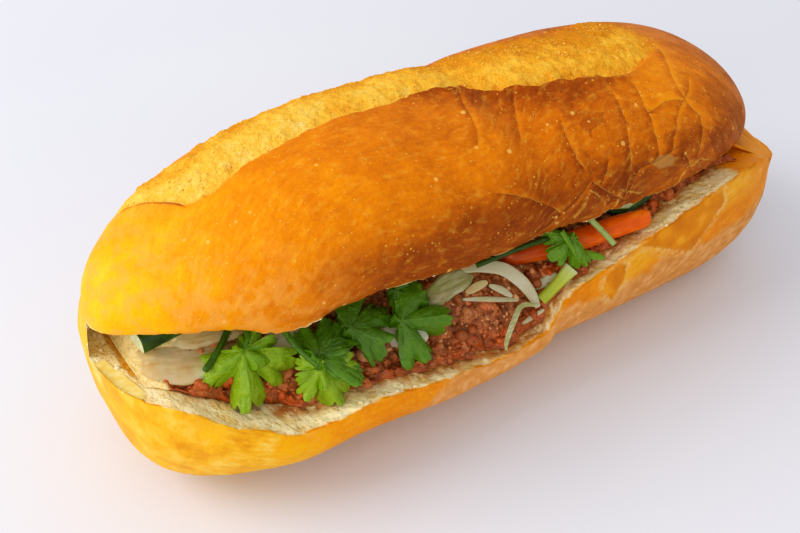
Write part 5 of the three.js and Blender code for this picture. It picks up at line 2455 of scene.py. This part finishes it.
@dataclass(frozen=True)
class Leaf:
    """One lobed coriander blade from its base to its tip."""

    base: tuple
    tip: tuple
    facing: tuple = FRONT
    width: float = 1.0
    curl: float = 0.2
    wave: float = 0.08
    phase: float = 0.0
    # painted light and shade: how lit the blade looks, low in shade, high in the light
    tone: float = 0.7

    def reach(self, angle: Array) -> Array:
        """Share of the length that the toothed edge reaches.

        Args:
            angle: angle round the half.

        Returns:
            Share between 0 and 1.
        """
        turned = np.arctan2(np.sin(angle), np.cos(angle))
        wander = 0.1 * np.sin(3 * turned + self.phase) + 0.05 * np.sin(8 * turned + 2 * self.phase)
        bent = turned + wander * (1 - smooth((np.abs(turned) - 1.6) / 0.6))
        lobes = []
        for centre, size in zip((0.0, LOBE_TURN, -LOBE_TURN), (0.5, 0.4, 0.4)):
            size = size * (1 + 0.15 * math.sin(5 * centre + 3 * self.phase))
            off = np.abs(bent - centre)
            full = smooth((1 - off / (LOBE_HALF_WIDTH + 0.03)) / 0.36) ** 0.8
            lobes.append(size * full * (1 - 1.2 * off**2))
        nearest = np.clip(np.round(bent / LOBE_TURN), -1, 1) * LOBE_TURN
        large = 1 - 0.19 * (1 - np.abs(np.cos(math.pi * (bent - nearest) / 0.35)) ** 0.5)
        small = 1 - 0.09 * (1 - np.abs(np.sin(math.pi * (bent - nearest) / 0.175)) ** 0.5)
        wedge = 1 - 0.65 * smooth((np.abs(turned) - 1.5) / 0.5)
        teeth = lerp(1.0, large * small, smooth((2.2 - np.abs(turned)) / 0.4))
        return (0.5 + np.max(lobes, axis=0)) * wedge * teeth * 1.05

    def add_to(
        self, data: MeshData, rings: int = 26, sides: int = 216, thickness: float = 0.45
    ) -> None:
        """Adds the blade to a mesh.

        Args:
            data: a MeshData.
            rings: number of rings.
            sides: points in a ring.
            thickness: thickness of the blade.
        """
        base, tip = np.asarray(self.base, float), np.asarray(self.tip, float)
        length = np.linalg.norm(tip - base)

        def point_at(share: Array, angle: Array, face: int) -> Array:
            """Points of a face at shares from the middle and angles round it."""
            reach = share * length * self.reach(angle)
            turned = np.arctan2(np.sin(angle), np.cos(angle))
            x, y = reach * np.cos(angle), reach * np.sin(angle) * self.width
            ruffle = self.wave * length * share**2 * np.sin(5 * angle + self.phase)
            bumps = 0.09 * noise(stack(x, y, 3 * self.phase), 3.2, 85, 2)
            bumps = bumps + 0.1 * share * np.sin(3 * turned + 2 * self.phase)
            bumps = bumps + 0.12 * share**3 * np.sin(8 * turned + 3 * self.phase)
            ruffle = ruffle + length * share * bumps
            off_vein = np.abs(turned - np.clip(np.round(turned / LOBE_TURN), -1, 1) * LOBE_TURN)
            fold = -0.8 * reach * np.minimum(off_vein, 0.6) ** 2 * (1 + 0.4 * math.sin(self.phase))
            bend = -self.curl * (x * x + y * y) / length - 0.05 * length * share**6
            return stack(x, y, bend + ruffle + fold + (face - 0.5) * thickness)

        points, faces, share, angle = disc_grid(rings, sides, point_at)
        turned = np.arctan2(np.sin(angle), np.cos(angle))
        radius = share * length * self.reach(angle)
        main = np.min([np.abs(turned - a) for a in (0, LOBE_TURN, -LOBE_TURN)], axis=0)
        vein = np.exp(-((radius * np.sin(main) / 0.22) ** 2)) * (main < 1.2) * (1 - share)
        at = frame_at(base, tip - base, self.facing)
        data.add(placed(points, at), faces, vein=vein, tone=self.tone, rim=share)


TILTED = (-0.2, -0.72, 0.66)


def stem(*knots: Point, width: float = 1.8) -> "Strip":
    """Round stem of even thickness."""
    return Strip(knots, width, width, (0, 0, 1), pointed=False, power=2.0)


@dataclass(frozen=True)
class Sprig:
    """Leaves and stems that grow together."""

    stems: tuple = ()
    leaves: tuple = ()
    # painted light and shade of its stems; above 1.05 a stem is pale
    tone: float = 0.5


class Coriander:
    """Fresh coriander: lobed leaves, their stems and a pale stalk."""

    # greens from a leaf in shade to one in the light: painted light and shade
    TONES = ((0.0, "234404"), (0.3, "3e6c04"), (0.6, "629604"), (0.85, "84b004"), (1.0, "9cc018"))

    # tones up to 1 are painted light and shade, high in the light, low in shade; above 1.05 a stem
    # is pale
    SPRIGS = {
        "coriander_stem_left": Sprig(
            (stem((-82.9, -14.6, 50.6), (-88.1, -19.2, 49.2), (-94.3, -23.2, 47.6)),), tone=0.35
        ),
        "coriander_sprig_left": Sprig(
            (stem((-80.6, -19.6, 53), (-81.5, -22.5, 52), (-84.1, -24.7, 50), width=1.6),),
            (
                Leaf((-84.1, -24.7, 50), (-87.4, -33.6, 37.5), TILTED, phase=1, tone=0.95),
                Leaf((-83.4, -24.9, 50.6), (-74.6, -25.8, 50.6), width=0.7, tone=0.75),
            ),
        ),
        "coriander_sprig_middle": Sprig(
            (stem((-72.1, -22.6, 52), (-70.8, -30, 48.5), (-67.7, -36.1, 44.8)),),
            (
                Leaf((-67.7, -36.1, 44.8), (-74.4, -35.4, 41), TILTED, 0.9, phase=2, tone=0.9),
                Leaf((-67.7, -36.1, 44.8), (-64.4, -42.4, 34.5), TILTED, 0.85, phase=3, tone=1.0),
                Leaf((-67.2, -35, 46.6), (-54.4, -29.6, 48.6), phase=4, tone=0.5),
                Leaf(
                    (-66.6, -33.8, 47.4),
                    (-59.4, -25.8, 52),
                    (-0.5, -0.45, 0.75),
                    0.7,
                    phase=4,
                    tone=0.35,
                ),
            ),
        ),
        "coriander_leaf_back": Sprig(
            (), (Leaf((-55.4, -30.6, 48.5), (-40.6, -28.4, 48.4), width=0.9, phase=5, tone=0.4),)
        ),
        "coriander_leaf_centre": Sprig(
            (),
            (
                Leaf(
                    (-40.7, -32.9, 45.4),
                    (-26.8, -36.6, 42.6),
                    (-0.2, -0.62, 0.75),
                    phase=0.5,
                    tone=0.5,
                ),
            ),
        ),
        "coriander_leaf_upper": Sprig(
            (), (Leaf((-38.4, -25.7, 49.6), (-30.4, -30.6, 47), width=0.9, phase=2.6, tone=0.35),)
        ),
        "coriander_sprig_right": Sprig(
            (stem((13.3, -34.2, 54.2), (14.6, -37.4, 50.4), (15.8, -39.8, 46.8)),),
            (Leaf((15.8, -36.4, 52), (8, -36.8, 46.6), width=1.1, phase=1.6, tone=0.6),),
            tone=0.75,
        ),
        "coriander_tip_right": Sprig(
            (Strip(((17.3, -38.3, 47.6), (20.4, -40.6, 46.6), (23.6, -42.6, 45.4)), 2.4, 0.8),),
            tone=0.8,
        ),
        "coriander_stem_back": Sprig(
            (stem((-11.7, -27.8, 48.3), (0.3, -29.4, 49.6), (12.6, -31.4, 50.6), width=1.6),),
            tone=0.15,
        ),
        "pale_stem_right": Sprig(
            (stem((24.2, -33.6, 54), (26.6, -37.2, 50.6), (28.8, -40.6, 47)),), tone=1.2
        ),
    }

    def material(self) -> Material:
        """Builds the material.

        Returns:
            The material.
        """
        p = Paint("coriander_leaf")
        vein, tone = p.attribute("vein"), p.attribute("tone")
        patch = p.noise(2.5, 4.0, 0.6)
        # painted light and shade: a leaf's tone makes it lighter in the light and darker in shade
        shade = p.sway(p.sway(tone, patch, 0.5), p.attribute("rim"), 0.16)
        colour = p.ramp(shade, self.TONES)
        colour = p.mix(p.span(tone, 1.05, 1.15), colour, "b4c878")
        colour = p.mix(p.times(vein, 0.15), colour, "aac44c")
        relief = p.less(p.noise(0.8, 3.0, 0.6), p.times(vein, 0.3))
        rough = p.span(patch, 0.3, 0.7, 0.16, 0.32)
        normal = p.bump(patch, 0.8, p.bump(relief, 0.25))
        through = p.mix(0.5, colour, "94b80c")
        return p.finish(colour, rough, normal, 0.6, through=through, share=0.24)

    def build(self) -> None:
        """Makes every sprig."""
        material = self.material()
        for node, sprig in self.SPRIGS.items():
            data = MeshData()
            for stem in sprig.stems:
                stem.add_to(data, 30, 14, tone=sprig.tone, vein=0.0, rim=0.0)
            for leaf in sprig.leaves:
                leaf.add_to(data)
            for key in ("share", "round"):
                data.values.pop(key, None)
            data.piece(f"dressed_{node}", material, "herb", (node,))


# Scene


@dataclass(frozen=True)
class Lamp:
    """Soft square lamp; place and size in metres, power in watts, sRGB hex colour."""

    name: str
    place: Point
    size: float
    power: float
    colour: str


@dataclass(frozen=True)
class StudioSize:
    """Camera, floor, lights and grading; places in metres."""

    turn_deg: float = -33.0
    rise_deg: float = 40.0
    distance: float = 0.335
    target: Point = (-0.021, -0.002, 0.034)
    lens: float = 49.5
    sensor: float = 36.0
    nearest: float = 0.01
    floor: float = 3.0
    floor_tones: tuple = ((0.3, "e2e3ea"), (0.7, "e8e9ee"))
    sky: str = "eef0f6"
    sky_strength: float = 0.78
    aim: Point = (0.0, 0.0, 0.04)
    lamps: tuple = (
        Lamp("window", (-1.05, 0.5, 1.0), 1.0, 13.0, "fffaf2"),
        Lamp("fill", (-0.95, -0.75, 0.55), 0.9, 4.5, "f4f7ff"),
    )
    all_levels: tuple = ((0.05, 0.043), (0.2, 0.19), (0.55, 0.56))
    blue_levels: tuple = ((0.03, 0.021), (0.12, 0.098), (0.35, 0.328), (0.7, 0.7))


class Studio:
    """Pale floor, soft light and the camera."""

    def __init__(self, size: StudioSize) -> None:
        """Keeps the sizes."""
        self.size = size

    def camera(self) -> None:
        """Makes the camera."""
        s = self.size
        turn, rise = math.radians(s.turn_deg), math.radians(s.rise_deg)
        back = Vector(
            (math.sin(turn) * math.cos(rise), -math.cos(turn) * math.cos(rise), math.sin(rise))
        )
        data = bpy.data.cameras.new("camera")
        data.lens = s.lens
        data.sensor_width = s.sensor
        data.clip_start = s.nearest
        camera = new_object("camera", data)
        camera.location = Vector(s.target) + back * s.distance
        camera.rotation_euler = back.to_track_quat("Z", "Y").to_euler()
        bpy.context.scene.camera = camera

    def floor(self) -> None:
        """Makes the floor."""
        p = Paint("white_laminate")
        colour = p.ramp(p.noise(220.0, 2.0, 0.4), self.size.floor_tones)
        h = self.size.floor / 2
        mesh = bpy.data.meshes.new("floor")
        mesh.from_pydata([(-h, -h, 0), (h, -h, 0), (h, h, 0), (-h, h, 0)], [], [(0, 1, 2, 3)])
        mesh.materials.append(p.finish(colour, 0.55, gloss=0.25))
        new_object("floor", mesh)

    def lamp(self, lamp: Lamp) -> None:
        """Hangs a lamp.

        Args:
            lamp: the lamp.
        """
        data = bpy.data.lights.new(lamp.name, "AREA")
        data.shape = "SQUARE"
        data.size = lamp.size
        data.energy = lamp.power
        data.color = linear(lamp.colour)[:3]
        made = new_object(lamp.name, data)
        made.location = lamp.place
        direction = Vector(lamp.place) - Vector(self.size.aim)
        made.rotation_euler = direction.to_track_quat("Z", "Y").to_euler()

    def world(self) -> None:
        """Makes the even light of the room."""
        world = bpy.data.worlds.new("room")
        world.use_nodes = True
        tree = world.node_tree
        tree.nodes.clear()
        inputs = {"Color": linear(self.size.sky), "Strength": self.size.sky_strength}
        sky = wire(tree, "ShaderNodeBackground", inputs)
        add_node(tree, "ShaderNodeOutputWorld", {"Surface": sky})
        bpy.context.scene.world = world

    def grade(self) -> None:
        """Sets how light becomes colour on the screen."""
        view = bpy.context.scene.view_settings
        view.view_transform = "Standard"
        view.look = "None"
        view.use_curve_mapping = True
        curves = view.curve_mapping.curves
        for channel, levels in ((3, self.size.all_levels), (2, self.size.blue_levels)):
            for place, level in levels:
                curves[channel].points.new(place, level)
        view.curve_mapping.update()

    def build(self) -> None:
        """Makes all of it."""
        self.camera()
        self.floor()
        self.world()
        for lamp in self.size.lamps:
            self.lamp(lamp)
        self.grade()


def write_sizes() -> None:
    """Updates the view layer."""

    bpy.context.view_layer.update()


def main() -> None:
    """Builds the sandwich and its studio."""
    logging.basicConfig(level=logging.INFO, format="%(name)s %(message)s")
    form = RollForm(RollSize())
    Studio(StudioSize()).build()
    Roll(form, RollDetail()).build(BakedRoll().build())
    meat = CookedMeat().build()
    GroundMeat(form, HeapSize(), HeapDetail()).build(meat)
    Onion().build()
    Cucumber().build()
    Chilli().build()
    GreenOnion().build()
    Coriander().build()
    write_sizes()


if __name__ == "__main__":
    main()
